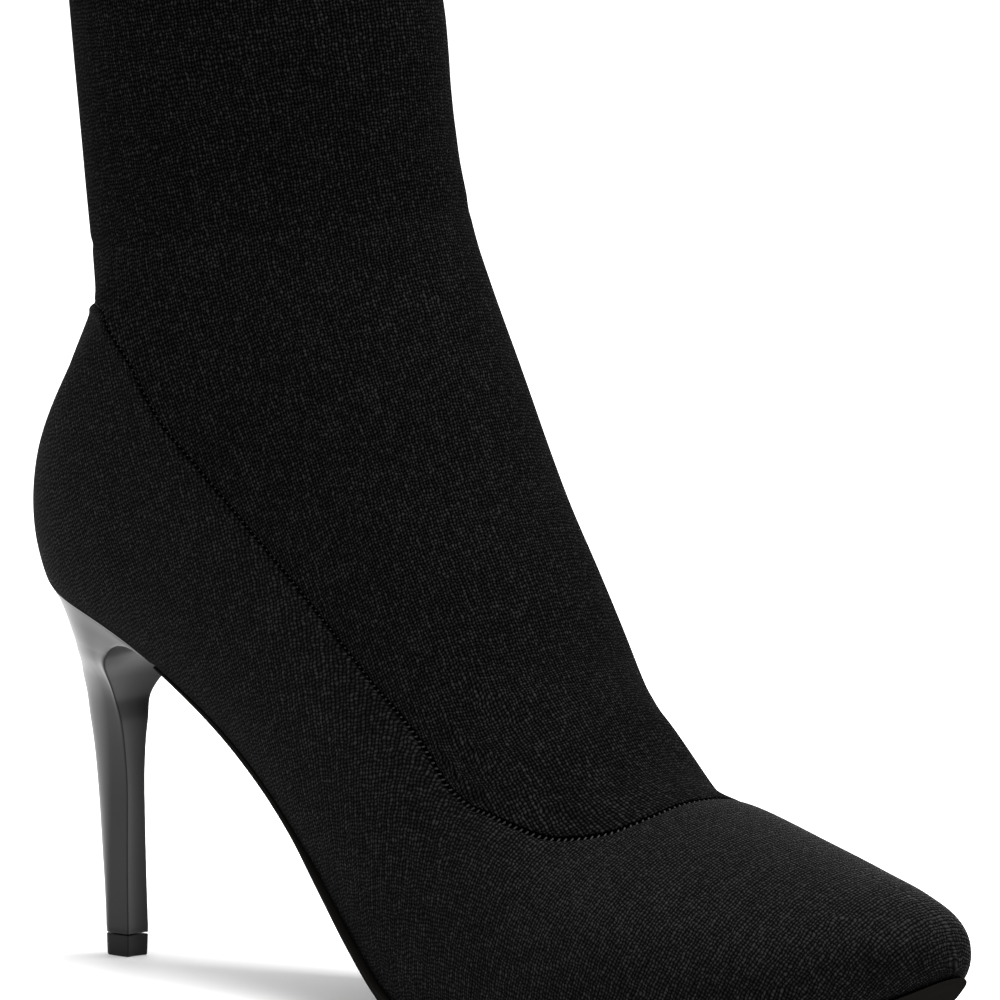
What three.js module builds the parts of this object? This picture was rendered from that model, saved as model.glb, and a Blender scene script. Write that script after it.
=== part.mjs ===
// Sock boot on a slim stiletto heel, right foot. Millimetres, +X to the toe, +Y to the inner side, +Z up.
// The foot and leg form is a fan of sections between a bottom line and a top line in the middle plane.
import * as THREE from 'three';

// Driving sizes of the boot
const FOOT_LENGTH = 253;
const BALL_WIDTH = 78;
const HEEL_RISE = 77;
const TOE_SPRING = 17.8;
const SHAFT_HEIGHT = 150;

// Thicknesses of the layers
const UPPER_WALL = 1.8;
const KNIT_WALL = 1.3;
const SOLE_THICKNESS = 2.0;
const SOLE_BREAST_THICKNESS = 0.9;
const INSOLE_THICKNESS = 1.5;

// Clearance between pieces that touch in the real boot, and the insole's play inside the wall
const FIT_GAP = 0.3;
const INSOLE_PLAY = 0.7;
const SEAM_GAP = 0.6;

// How far the outsole stands out past the upper's edge
const SOLE_MARGIN = 1.2;

// Seam between the upper and the knit shaft: depth and reach of the valley that the stitching pulls in
const SEAM_DIP = 0.4;
const SEAM_REACH = 6;

// Heel stem, its top lift and the place of the breast
const STEM_WIDTH = 5.6;
const STEM_DEPTH = 7.8;
const STEM_FRONT = 20;
const BREAST_LINE = 47;
const LIFT_HEIGHT = 4.4;
const LIFT_TAPER = 0.96;
const BREAST_HOLLOW = 0.06;
const SEAT_INSET = 0.2;

// Bevel on the lower edges of the sole and the insole, and its limit as a share of a cross section's width
const EDGE_CUT = 0.4;
const CUT_LIMIT = 0.35;

// Grid sizes: columns on one side of the boot, rows up the wall, rings of the heel
const SIDE_COLUMNS = 38;
const UPPER_ROWS = 13;
const SHAFT_ROWS = 14;
const ROW_CROWDING = 0.5;
const COLUMN_CROWDING = 0.07;
const HEEL_SIDE_STEPS = 12;
const HEEL_FRONT_STEPS = 6;
const LAYER_STEP = 6;
const LAYER_END = 9;
const LAYER_END_STEPS = 6;
const LAYER_CROSS_STEPS = 4;

// Top of the sole along the foot: share of the foot length, share of the heel rise, share of the toe spring
const SOLE_LINE = [
  { along: 0.000, rise: 0.972, spring: 0.000 },
  { along: 0.024, rise: 0.967, spring: 0.000 },
  { along: 0.079, rise: 0.936, spring: 0.000 },
  { along: 0.142, rise: 0.874, spring: 0.000 },
  { along: 0.206, rise: 0.787, spring: 0.000 },
  { along: 0.269, rise: 0.683, spring: 0.000 },
  { along: 0.332, rise: 0.548, spring: 0.000 },
  { along: 0.395, rise: 0.373, spring: 0.000 },
  { along: 0.451, rise: 0.200, spring: 0.000 },
  { along: 0.504, rise: 0.058, spring: 0.000 },
  { along: 0.545, rise: 0.010, spring: 0.000 },
  { along: 0.585, rise: 0.000, spring: 0.000 },
  { along: 0.675, rise: 0.000, spring: 0.000 },
  { along: 0.743, rise: 0.000, spring: 0.058 },
  { along: 0.814, rise: 0.000, spring: 0.163 },
  { along: 0.874, rise: 0.000, spring: 0.298 },
  { along: 0.933, rise: 0.000, spring: 0.522 },
  { along: 0.972, rise: 0.000, spring: 0.781 },
  { along: 1.000, rise: 0.000, spring: 1.000 },
];

// Middle lines of the sections from toe to collar. lowX, topX are shares of the foot length, lowH, topH
// shares of the shaft height over the sole, wide the share of the section's depth where it is widest.
const SECTION_LINES = [
  { lowX: 0.993, lowH: 0.010, topX: 0.993, topH: 0.022, wide: 0.45 },
  { lowX: 0.983, lowH: -0.006, topX: 0.977, topH: 0.084, wide: 0.52 },
  { lowX: 0.937, lowH: -0.024, topX: 0.928, topH: 0.157, wide: 0.44 },
  { lowX: 0.870, lowH: -0.054, topX: 0.862, topH: 0.214, wide: 0.38 },
  { lowX: 0.799, lowH: -0.087, topX: 0.795, topH: 0.262, wide: 0.36 },
  { lowX: 0.727, lowH: -0.113, topX: 0.733, topH: 0.303, wide: 0.36 },
  { lowX: 0.644, lowH: -0.132, topX: 0.666, topH: 0.341, wide: 0.35 },
  { lowX: 0.552, lowH: -0.140, topX: 0.613, topH: 0.434, wide: 0.35 },
  { lowX: 0.451, lowH: -0.164, topX: 0.563, topH: 0.474, wide: 0.36 },
  { lowX: 0.348, lowH: -0.162, topX: 0.511, topH: 0.491, wide: 0.38 },
  { lowX: 0.236, lowH: -0.138, topX: 0.471, topH: 0.527, wide: 0.40 },
  { lowX: 0.126, lowH: -0.109, topX: 0.435, topH: 0.583, wide: 0.43 },
  { lowX: 0.040, lowH: -0.073, topX: 0.420, topH: 0.642, wide: 0.46 },
  { lowX: 0.000, lowH: 0.012, topX: 0.412, topH: 0.701, wide: 0.48 },
  { lowX: -0.003, lowH: 0.120, topX: 0.407, topH: 0.757, wide: 0.49 },
  { lowX: 0.031, lowH: 0.230, topX: 0.402, topH: 0.805, wide: 0.50 },
  { lowX: 0.062, lowH: 0.329, topX: 0.394, topH: 0.868, wide: 0.50 },
  { lowX: 0.073, lowH: 0.404, topX: 0.384, topH: 0.923, wide: 0.50 },
  { lowX: 0.066, lowH: 0.555, topX: 0.375, topH: 0.980, wide: 0.50 },
  { lowX: 0.054, lowH: 0.756, topX: 0.363, topH: 1.051, wide: 0.50 },
  { lowX: 0.039, lowH: 1.018, topX: 0.348, topH: 1.133, wide: 0.50 },
];

// Girths of the same sections. outer, inner and shift are shares of the ball width, crown and belly the
// roundness of the section's upper and lower half.
const SECTION_GIRTHS = [
  { outer: 0.006, inner: 0.006, shift: 0.047, crown: 2.0, belly: 2.2 },
  { outer: 0.103, inner: 0.100, shift: 0.046, crown: 2.1, belly: 2.3 },
  { outer: 0.228, inner: 0.216, shift: 0.041, crown: 2.1, belly: 2.4 },
  { outer: 0.357, inner: 0.337, shift: 0.035, crown: 2.1, belly: 2.5 },
  { outer: 0.442, inner: 0.410, shift: 0.026, crown: 2.1, belly: 2.5 },
  { outer: 0.490, inner: 0.462, shift: 0.013, crown: 2.1, belly: 2.5 },
  { outer: 0.510, inner: 0.487, shift: 0.006, crown: 2.0, belly: 2.5 },
  { outer: 0.504, inner: 0.481, shift: 0.006, crown: 2.0, belly: 2.4 },
  { outer: 0.472, inner: 0.455, shift: 0.010, crown: 2.0, belly: 2.3 },
  { outer: 0.423, inner: 0.413, shift: 0.010, crown: 2.0, belly: 2.3 },
  { outer: 0.395, inner: 0.392, shift: 0.010, crown: 2.0, belly: 2.2 },
  { outer: 0.392, inner: 0.390, shift: 0.006, crown: 2.0, belly: 2.1 },
  { outer: 0.394, inner: 0.394, shift: 0.000, crown: 2.0, belly: 2.0 },
  { outer: 0.394, inner: 0.394, shift: 0.000, crown: 2.0, belly: 2.0 },
  { outer: 0.387, inner: 0.387, shift: 0.000, crown: 2.0, belly: 2.0 },
  { outer: 0.382, inner: 0.382, shift: 0.000, crown: 2.0, belly: 2.0 },
  { outer: 0.387, inner: 0.387, shift: 0.000, crown: 2.0, belly: 2.0 },
  { outer: 0.397, inner: 0.397, shift: 0.000, crown: 2.0, belly: 2.0 },
  { outer: 0.410, inner: 0.410, shift: 0.000, crown: 2.0, belly: 2.0 },
  { outer: 0.423, inner: 0.423, shift: 0.000, crown: 2.0, belly: 2.0 },
  { outer: 0.433, inner: 0.433, shift: 0.000, crown: 2.0, belly: 2.0 },
];

const SECTIONS = SECTION_LINES.map((line, i) => ({ ...line, ...SECTION_GIRTHS[i] }));

// Top line of the upper from the throat to the back, each row a share of its run: the section, the angle
// round the section, the share of the sole edge below it and the angle at the collar above it.
const SEAM_LINE = [
  { run: 0.000, section: 0.259, angle: 90.0, edge: 0.000, collar: 90 },
  { run: 0.051, section: 0.261, angle: 73.0, edge: 0.049, collar: 78 },
  { run: 0.088, section: 0.270, angle: 61.0, edge: 0.090, collar: 68 },
  { run: 0.135, section: 0.296, angle: 50.0, edge: 0.143, collar: 57 },
  { run: 0.190, section: 0.330, angle: 41.0, edge: 0.213, collar: 46 },
  { run: 0.241, section: 0.362, angle: 35.5, edge: 0.285, collar: 37 },
  { run: 0.317, section: 0.400, angle: 30.0, edge: 0.383, collar: 26 },
  { run: 0.402, section: 0.438, angle: 21.5, edge: 0.482, collar: 15 },
  { run: 0.499, section: 0.480, angle: 14.0, edge: 0.571, collar: 4 },
  { run: 0.605, section: 0.527, angle: 8.5, edge: 0.653, collar: -8 },
  { run: 0.701, section: 0.580, angle: 4.0, edge: 0.735, collar: -20 },
  { run: 0.775, section: 0.642, angle: -0.5, edge: 0.800, collar: -32 },
  { run: 0.840, section: 0.715, angle: -16.0, edge: 0.860, collar: -46 },
  { run: 0.896, section: 0.797, angle: -46.0, edge: 0.915, collar: -62 },
  { run: 0.950, section: 0.840, angle: -68.0, edge: 0.958, collar: -76 },
  { run: 1.000, section: 0.857, angle: -90.0, edge: 1.000, collar: -90 },
];

// Outsole's edge along the foot: margin is how far it stands out past the upper, as a share of the sole
// margin, grown how far its thickness has grown from the breast's to the forefoot's, and bevel how far its
// bottom is cut in, as a share of the edge cut.
const SOLE_EDGE = [
  { along: 0.186, margin: 0.00, grown: 0.00, bevel: 1.0 },
  { along: 0.320, margin: 0.25, grown: 0.80, bevel: 1.0 },
  { along: 0.365, margin: 0.50, grown: 0.90, bevel: 1.0 },
  { along: 0.411, margin: 1.30, grown: 0.96, bevel: 1.0 },
  { along: 0.466, margin: 1.60, grown: 1.00, bevel: 1.0 },
  { along: 0.520, margin: 1.40, grown: 1.00, bevel: 1.0 },
  { along: 0.600, margin: 1.00, grown: 1.00, bevel: 1.0 },
  { along: 0.900, margin: 1.00, grown: 1.00, bevel: 2.5 },
  { along: 0.960, margin: 1.05, grown: 0.70, bevel: 6.5 },
  { along: 1.000, margin: 1.10, grown: -0.10, bevel: 6.0 },
];

// Heel from the top lift to the seat: level is the share of the height between them, wide, front and back
// say how far the ring has grown from the stem to the seat, follow how far it lies on the seat's slope.
const HEEL_RINGS = [
  { level: 0.000, wide: 0.010, front: 0.015, back: -0.05, follow: 0.00 },
  { level: 0.205, wide: 0.000, front: 0.000, back: 0.16, follow: 0.00 },
  { level: 0.407, wide: -0.010, front: -0.007, back: 0.31, follow: 0.00 },
  { level: 0.527, wide: 0.015, front: -0.015, back: 0.39, follow: 0.00 },
  { level: 0.608, wide: 0.060, front: -0.020, back: 0.47, follow: 0.00 },
  { level: 0.668, wide: 0.120, front: -0.010, back: 0.55, follow: 0.02 },
  { level: 0.712, wide: 0.280, front: 0.055, back: 0.61, follow: 0.10 },
  { level: 0.738, wide: 0.505, front: 0.167, back: 0.60, follow: 0.25 },
  { level: 0.746, wide: 0.730, front: 0.315, back: 0.66, follow: 0.42 },
  { level: 0.746, wide: 0.900, front: 0.463, back: 0.76, follow: 0.60 },
  { level: 0.742, wide: 0.975, front: 0.630, back: 0.87, follow: 0.78 },
  { level: 0.742, wide: 1.000, front: 0.815, back: 0.96, follow: 0.92 },
  { level: 0.742, wide: 1.000, front: 1.000, back: 1.00, follow: 1.00 },
];

// Sections between which the low line crosses the sole line, from inside to outside the boot
const TOE_SEARCH = [0.2, 0];
const SEAT_SEARCH = [0.58, 0.75];
const HALVINGS = 40;

// Least lean of the wall that its foot is widened for
const LEAN_LIMIT = 0.5;

// How late along the heel's side its growth turns from the front's to the back's
const HEEL_TURN = 1.5;

// Shares at which the seat's top closes on its middle
const SEAT_FAN = [0.7, 0.4, 0.12];

const DEGREE = Math.PI / 180;
const OUTER = -1;
const INNER = 1;

function lerp(a, b, t) {
  return a + (b - a) * t;
}

function clamp(value, low, high) {
  return Math.min(high, Math.max(low, value));
}

// Smooth curve through the rows of a table that never overshoots them
function monotoneCurve(xs, ys) {
  const count = xs.length;
  const steps = xs.slice(1).map((x, i) => x - xs[i]);
  const slopes = steps.map((step, i) => (ys[i + 1] - ys[i]) / step);
  const tangents = new Array(count).fill(0);
  for (let i = 1; i < count - 1; i += 1) {
    if (slopes[i - 1] * slopes[i] > 0) {
      const before = 2 * steps[i] + steps[i - 1];
      const after = steps[i] + 2 * steps[i - 1];
      tangents[i] = (before + after) / (before / slopes[i - 1] + after / slopes[i]);
    }
  }
  tangents[0] = slopes[0];
  tangents[count - 1] = slopes[count - 2];
  return (value) => {
    const x = clamp(value, xs[0], xs[count - 1]);
    let i = 0;
    while (i < count - 2 && x > xs[i + 1]) {
      i += 1;
    }
    const t = (x - xs[i]) / steps[i];
    const keep = 2 * t ** 3 - 3 * t ** 2 + 1;
    return ys[i] * keep + ys[i + 1] * (1 - keep)
      + steps[i] * (tangents[i] * (t ** 3 - 2 * t ** 2 + t) + tangents[i + 1] * (t ** 3 - t ** 2));
  };
}

function tableCurve(rows, key, column, scale = 1) {
  return monotoneCurve(rows.map((row) => row[key]), rows.map((row) => row[column] * scale));
}

const soleRise = tableCurve(SOLE_LINE, 'along', 'rise', HEEL_RISE);
const soleSpring = tableCurve(SOLE_LINE, 'along', 'spring', TOE_SPRING);

// Height of the sole line, on which the upper's edge stands
function soleLine(x) {
  const along = x / FOOT_LENGTH;
  return soleRise(along) + soleSpring(along) + SOLE_THICKNESS + FIT_GAP;
}

// Smooth blend of the section table at a place s from 0 at the toe to 1 at the collar
function sectionAt(s) {
  const last = SECTIONS.length - 1;
  const place = clamp(s, 0, 1) * last;
  const i = Math.min(Math.floor(place), last - 1);
  const t = place - i;
  const section = {};
  for (const column of Object.keys(SECTIONS[0])) {
    const b = SECTIONS[i][column];
    const c = SECTIONS[i + 1][column];
    const a = i > 0 ? SECTIONS[i - 1][column] : 2 * b - c;
    const d = i < last - 1 ? SECTIONS[i + 2][column] : 2 * c - b;
    section[column] = 0.5 * (2 * b + (c - a) * t + (2 * a - 5 * b + 4 * c - d) * t ** 2
      + (3 * b - a - 3 * c + d) * t ** 3);
  }
  return section;
}

// Point of the section s at an angle from -90 degrees at its low end to 90 at its top, on one side
function bodyPoint(s, angle, side) {
  const row = sectionAt(s);
  const up = Math.sin(angle);
  const roundness = 2 / (up >= 0 ? row.crown : row.belly);
  const reach = Math.sign(up) * Math.abs(up) ** roundness;
  const across = Math.max(Math.cos(angle), 0) ** roundness;
  const depth = row.wide + (up >= 0 ? 1 - row.wide : row.wide) * reach;
  const half = side === OUTER ? row.outer : row.inner;
  const base = soleLine(row.lowX * FOOT_LENGTH);
  return new THREE.Vector3(
    lerp(row.lowX, row.topX, depth) * FOOT_LENGTH,
    (row.shift + side * half * across) * BALL_WIDTH,
    base + lerp(row.lowH, row.topH, depth) * SHAFT_HEIGHT,
  );
}

function heightOverSole(point) {
  return point.z - soleLine(point.x);
}

// Angle at which the section s meets the sole line, or -90 degrees where it closes above it
function edgeAngle(s, side) {
  const closed = -Math.PI / 2;
  if (heightOverSole(bodyPoint(s, closed, side)) >= 0) {
    return closed;
  }
  let low = closed;
  let high = Math.PI / 2;
  for (let i = 0; i < HALVINGS; i += 1) {
    const middle = (low + high) / 2;
    if (heightOverSole(bodyPoint(s, middle, side)) < 0) {
      low = middle;
    } else {
      high = middle;
    }
  }
  return high;
}

// Section where the low line crosses the sole line, at the toe tip and at the back of the seat
function crossingSection([from, to]) {
  let inside = from;
  let outside = to;
  for (let i = 0; i < HALVINGS; i += 1) {
    const middle = (inside + outside) / 2;
    if (heightOverSole(bodyPoint(middle, -Math.PI / 2, OUTER)) < 0) {
      inside = middle;
    } else {
      outside = middle;
    }
  }
  return outside;
}

const TOE_SECTION = crossingSection(TOE_SEARCH);
const SEAT_SECTION = crossingSection(SEAT_SEARCH);

// The surface as a disc round the toe: the distance from the middle is the section, and the direction turns
// from 0 at the top ridge to 180 degrees at the low line.
function discPlace(s, angle) {
  const turn = Math.PI / 2 - angle;
  return new THREE.Vector2(s * Math.cos(turn), s * Math.sin(turn));
}

function surfacePoint(place, side) {
  return bodyPoint(place.length(), Math.PI / 2 - Math.atan2(Math.abs(place.y), place.x), side);
}

const seamSection = tableCurve(SEAM_LINE, 'run', 'section');
const seamAngle = tableCurve(SEAM_LINE, 'run', 'angle', DEGREE);
const seamEdge = tableCurve(SEAM_LINE, 'run', 'edge');
const seamCollar = tableCurve(SEAM_LINE, 'run', 'collar', DEGREE);

// Point of the upper at a share of the way from the seam down to the sole edge
function upperPoint(run, share, side) {
  const seam = discPlace(seamSection(run), seamAngle(run));
  const edgeSection = lerp(TOE_SECTION, SEAT_SECTION, seamEdge(run));
  return surfacePoint(seam.lerp(discPlace(edgeSection, edgeAngle(edgeSection, side)), share), side);
}

// Point of the shaft at a share of the way from the seam up to the collar. The rows crowd towards the seam,
// where the instep is hollow.
function shaftPoint(run, share, side) {
  const way = lerp(share, share ** 2, ROW_CROWDING);
  const angle = lerp(seamAngle(run), seamCollar(run), way);
  return bodyPoint(lerp(seamSection(run), 1, way), angle, side);
}

// Rows of points from the seam outwards, each row a closed loop of columns round the boot. The columns
// crowd a little at the toe and the back, where the form turns fastest.
function gridRows(rowCount, pointAt) {
  const rows = [];
  for (let r = 0; r <= rowCount; r += 1) {
    const row = [];
    for (let c = 0; c < 2 * SIDE_COLUMNS; c += 1) {
      const side = c < SIDE_COLUMNS ? OUTER : INNER;
      const step = (side === OUTER ? c : 2 * SIDE_COLUMNS - c) / SIDE_COLUMNS;
      const run = step - COLUMN_CROWDING * Math.sin(2 * Math.PI * step);
      row.push(pointAt(run, r / rowCount, side));
    }
    rows.push(row);
  }
  return rows;
}

// Pulls the first row back from the seam, square to it, by half the gap between the two walls
function openSeam(rows) {
  const count = rows[0].length;
  rows[0] = rows[0].map((point, c) => {
    const seam = rows[0][(c + 1) % count].clone().sub(rows[0][(c + count - 1) % count]).normalize();
    const away = rows[1][c].clone().sub(point);
    away.addScaledVector(seam, -away.dot(seam)).normalize();
    return point.clone().addScaledVector(away, SEAM_GAP / 2);
  });
}

// Unit normals of a closed grid, pointing away from the boot
function gridNormals(rows, flip) {
  const last = rows.length - 1;
  return rows.map((row, r) => row.map((point, c) => {
    const count = row.length;
    const round = row[(c + 1) % count].clone().sub(row[(c + count - 1) % count]);
    const up = rows[Math.min(r + 1, last)][c].clone().sub(rows[Math.max(r - 1, 0)][c]);
    return round.cross(up).multiplyScalar(flip).normalize();
  }));
}

// Sinks the surface towards the seam, as the stitching pulls both knits in
function dipAtSeam(rows, normals) {
  const travelled = new Array(rows[0].length).fill(0);
  return rows.map((row, r) => row.map((point, c) => {
    if (r > 0) {
      travelled[c] += point.distanceTo(rows[r - 1][c]);
    }
    return point.clone().addScaledVector(normals[r][c], -SEAM_DIP * Math.exp(-travelled[c] / SEAM_REACH));
  }));
}

function offsetRows(rows, normals, wall) {
  return rows.map((row, r) => row.map((point, c) => point.clone().addScaledVector(normals[r][c], -wall)));
}

// Geometry of a solid that is a closed loop of closed rows, such as a wall with its two rims
function ringSolid(rows) {
  const count = rows[0].length;
  const positions = rows.flat().flatMap((p) => [p.x, p.y, p.z]);
  const index = [];
  rows.forEach((row, r) => {
    const next = (r + 1) % rows.length;
    for (let c = 0; c < count; c += 1) {
      const d = (c + 1) % count;
      const [a, b, e, f] = [r * count + c, r * count + d, next * count + c, next * count + d];
      index.push(a, b, f, a, f, e);
    }
  });
  return closedGeometry(positions, index);
}

// Geometry of a solid made of a stack of closed rings of one count, each end shut by a fan on its middle
function stackSolid(rings) {
  const count = rings[0].length;
  const last = rings.length - 1;
  const middles = [rings[0], rings[last]].map((ring) => {
    const sum = ring.reduce((total, p) => total.add(p), new THREE.Vector3());
    return sum.divideScalar(count);
  });
  const positions = [...rings.flat(), ...middles].flatMap((p) => [p.x, p.y, p.z]);
  const [firstMiddle, lastMiddle] = [rings.length * count, rings.length * count + 1];
  const index = [];
  for (let c = 0; c < count; c += 1) {
    const d = (c + 1) % count;
    for (let r = 0; r < last; r += 1) {
      const [a, b, e, f] = [r * count + c, r * count + d, (r + 1) * count + c, (r + 1) * count + d];
      index.push(a, b, f, a, f, e);
    }
    index.push(firstMiddle, d, c);
    index.push(lastMiddle, last * count + c, last * count + d);
  }
  return closedGeometry(positions, index);
}

// Turns the faces over where the volume comes out negative, so that they point outwards
function closedGeometry(positions, index) {
  let volume = 0;
  const corner = (i) => new THREE.Vector3(positions[3 * i], positions[3 * i + 1], positions[3 * i + 2]);
  for (let i = 0; i < index.length; i += 3) {
    volume += corner(index[i]).dot(corner(index[i + 1]).cross(corner(index[i + 2])));
  }
  if (volume < 0) {
    for (let i = 0; i < index.length; i += 3) {
      [index[i + 1], index[i + 2]] = [index[i + 2], index[i + 1]];
    }
  }
  const geometry = new THREE.BufferGeometry();
  geometry.setAttribute('position', new THREE.Float32BufferAttribute(positions, 3));
  geometry.setIndex(index);
  geometry.computeVertexNormals();
  return geometry;
}

// The upper: vamp and quarters in one wall, open at the top line and underneath
function makeUpper() {
  const rows = gridRows(UPPER_ROWS, upperPoint);
  openSeam(rows);
  const normals = gridNormals(rows, 1);
  const outside = dipAtSeam(rows, normals);
  const inside = offsetRows(outside, normals, UPPER_WALL);
  const last = rows.length - 1;
  // The wall's foot is cut along the sole line, as wide as the wall is where it leans
  inside[last] = outside[last].map((point, c) => {
    const flat = new THREE.Vector3(normals[last][c].x, normals[last][c].y, 0);
    const lean = clamp(flat.length(), LEAN_LIMIT, 1);
    const foot = point.clone().addScaledVector(flat.normalize(), -UPPER_WALL / lean);
    foot.z = soleLine(foot.x);
    return foot;
  });
  const [foot, inner] = [outside[last], inside[last]];
  return { geometry: ringSolid([...outside, ...inside.reverse()]), foot, inner };
}

// The knit shaft: a tube from the seam to the collar
function makeShaft() {
  const rows = gridRows(SHAFT_ROWS, shaftPoint);
  openSeam(rows);
  const normals = gridNormals(rows, -1);
  const outside = dipAtSeam(rows, normals);
  const inside = offsetRows(outside, normals, KNIT_WALL);
  return ringSolid([...outside, ...inside.reverse()]);
}

// One side of a closed row as seen from above, from the toe to the back, moved outwards by a margin
function sideOutline(row, side, margin) {
  const half = side === OUTER
    ? row.slice(0, SIDE_COLUMNS + 1)
    : [row[0], ...row.slice(SIDE_COLUMNS).reverse()];
  return half.map((point, i) => {
    const before = half[Math.max(i - 1, 0)];
    const after = half[Math.min(i + 1, half.length - 1)];
    const along = new THREE.Vector2(after.x - before.x, after.y - before.y).normalize();
    const out = new THREE.Vector2(-along.y * side, along.x * side).multiplyScalar(-1);
    if (i === 0) {
      out.set(1, 0);
    }
    if (i === half.length - 1) {
      out.set(-1, 0);
    }
    const reach = margin(point.x);
    return new THREE.Vector2(point.x + out.x * reach, point.y + out.y * reach);
  });
}

// The y of an outline at a place x, between its toe end and its back end
function acrossAt(outline, x) {
  for (let i = 0; i < outline.length - 1; i += 1) {
    const [a, b] = [outline[i], outline[i + 1]];
    if (x <= a.x && x >= b.x && a.x > b.x) {
      return lerp(a.y, b.y, (a.x - x) / (a.x - b.x));
    }
  }
  return outline[x > outline[0].x ? 0 : outline.length - 1].y;
}

// Places of the cross sections: even steps shared by every layer, closer together at the two round ends
function layerStations(backX, frontX) {
  const stations = [];
  for (let i = 0; i <= LAYER_END_STEPS; i += 1) {
    const reach = LAYER_END * (i / LAYER_END_STEPS) ** 2;
    stations.push(backX + reach, frontX - reach);
  }
  for (let x = 0; x < frontX; x += LAYER_STEP) {
    if (x > backX + LAYER_END + 1 && x < frontX - LAYER_END - 1) {
      stations.push(x);
    }
  }
  return stations.sort((a, b) => a - b);
}

// A thin layer that follows the sole line between two outlines, as a stack of cross sections
function layerSolid(row, margin, backX, frontX, topOf, bottomOf, cutOf) {
  const outlines = [OUTER, INNER].map((side) => sideOutline(row, side, margin));
  const rings = layerStations(backX, frontX).map((x) => {
    const [a, b] = outlines.map((outline) => acrossAt(outline, x));
    const cut = Math.min(cutOf(x), CUT_LIMIT * (b - a));
    const ring = [];
    for (let j = 0; j <= LAYER_CROSS_STEPS; j += 1) {
      ring.push(new THREE.Vector3(x, lerp(a, b, j / LAYER_CROSS_STEPS), topOf(x)));
    }
    for (let j = LAYER_CROSS_STEPS; j >= 0; j -= 1) {
      const across = lerp(a + cut, b - cut, j / LAYER_CROSS_STEPS);
      ring.push(new THREE.Vector3(x, across, bottomOf(x)));
    }
    return ring;
  });
  return stackSolid(rings);
}

// The outsole runs from the heel's breast to the toe and stands out a little round the forefoot
function makeOutsole(foot) {
  const grown = tableCurve(SOLE_EDGE, 'along', 'grown');
  const margin = tableCurve(SOLE_EDGE, 'along', 'margin', SOLE_MARGIN);
  const bevel = tableCurve(SOLE_EDGE, 'along', 'bevel', EDGE_CUT);
  const top = (x) => soleLine(x) - FIT_GAP;
  const bottom = (x) => top(x) - lerp(SOLE_BREAST_THICKNESS, SOLE_THICKNESS, grown(x / FOOT_LENGTH));
  const reach = (x) => margin(x / FOOT_LENGTH);
  const cut = (x) => bevel(x / FOOT_LENGTH);
  const tip = foot[0].x + reach(foot[0].x) - EDGE_CUT;
  return layerSolid(foot, reach, BREAST_LINE + FIT_GAP, tip, top, bottom, cut);
}

// The insole lies inside the upper's foot, from the seat to the toe
function makeInsole(inner) {
  const margin = () => -INSOLE_PLAY;
  const back = inner[SIDE_COLUMNS].x + INSOLE_PLAY + EDGE_CUT;
  const front = inner[0].x - INSOLE_PLAY - EDGE_CUT;
  const top = (x) => soleLine(x) + INSOLE_THICKNESS;
  return layerSolid(inner, margin, back, front, top, soleLine, () => EDGE_CUT);
}

// One side of the stem's section from its front corner along a straight side to its half round back
function stemSide(share, side) {
  const half = STEM_WIDTH / 2;
  const straight = STEM_DEPTH - half;
  const way = share * (straight + (Math.PI / 2) * half);
  const turn = Math.max(way - straight, 0) / half;
  const x = STEM_FRONT - Math.min(way, straight) - half * Math.sin(turn);
  return new THREE.Vector2(x, side * half * Math.cos(turn));
}

// One side of the seat's outline from the breast to the back, at a share of its length
function seatSide(foot, side) {
  const outline = sideOutline(foot, side, () => -SEAT_INSET);
  const start = new THREE.Vector2(BREAST_LINE, acrossAt(outline, BREAST_LINE));
  const points = [start, ...outline.filter((p) => p.x < BREAST_LINE)];
  const lengths = [0];
  for (let i = 1; i < points.length; i += 1) {
    lengths.push(lengths[i - 1] + points[i].distanceTo(points[i - 1]));
  }
  return (share) => {
    const target = share * lengths[lengths.length - 1];
    let i = 0;
    while (i < points.length - 2 && target > lengths[i + 1]) {
      i += 1;
    }
    const t = clamp((target - lengths[i]) / (lengths[i + 1] - lengths[i]), 0, 1);
    return points[i].clone().lerp(points[i + 1], t);
  };
}

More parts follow.
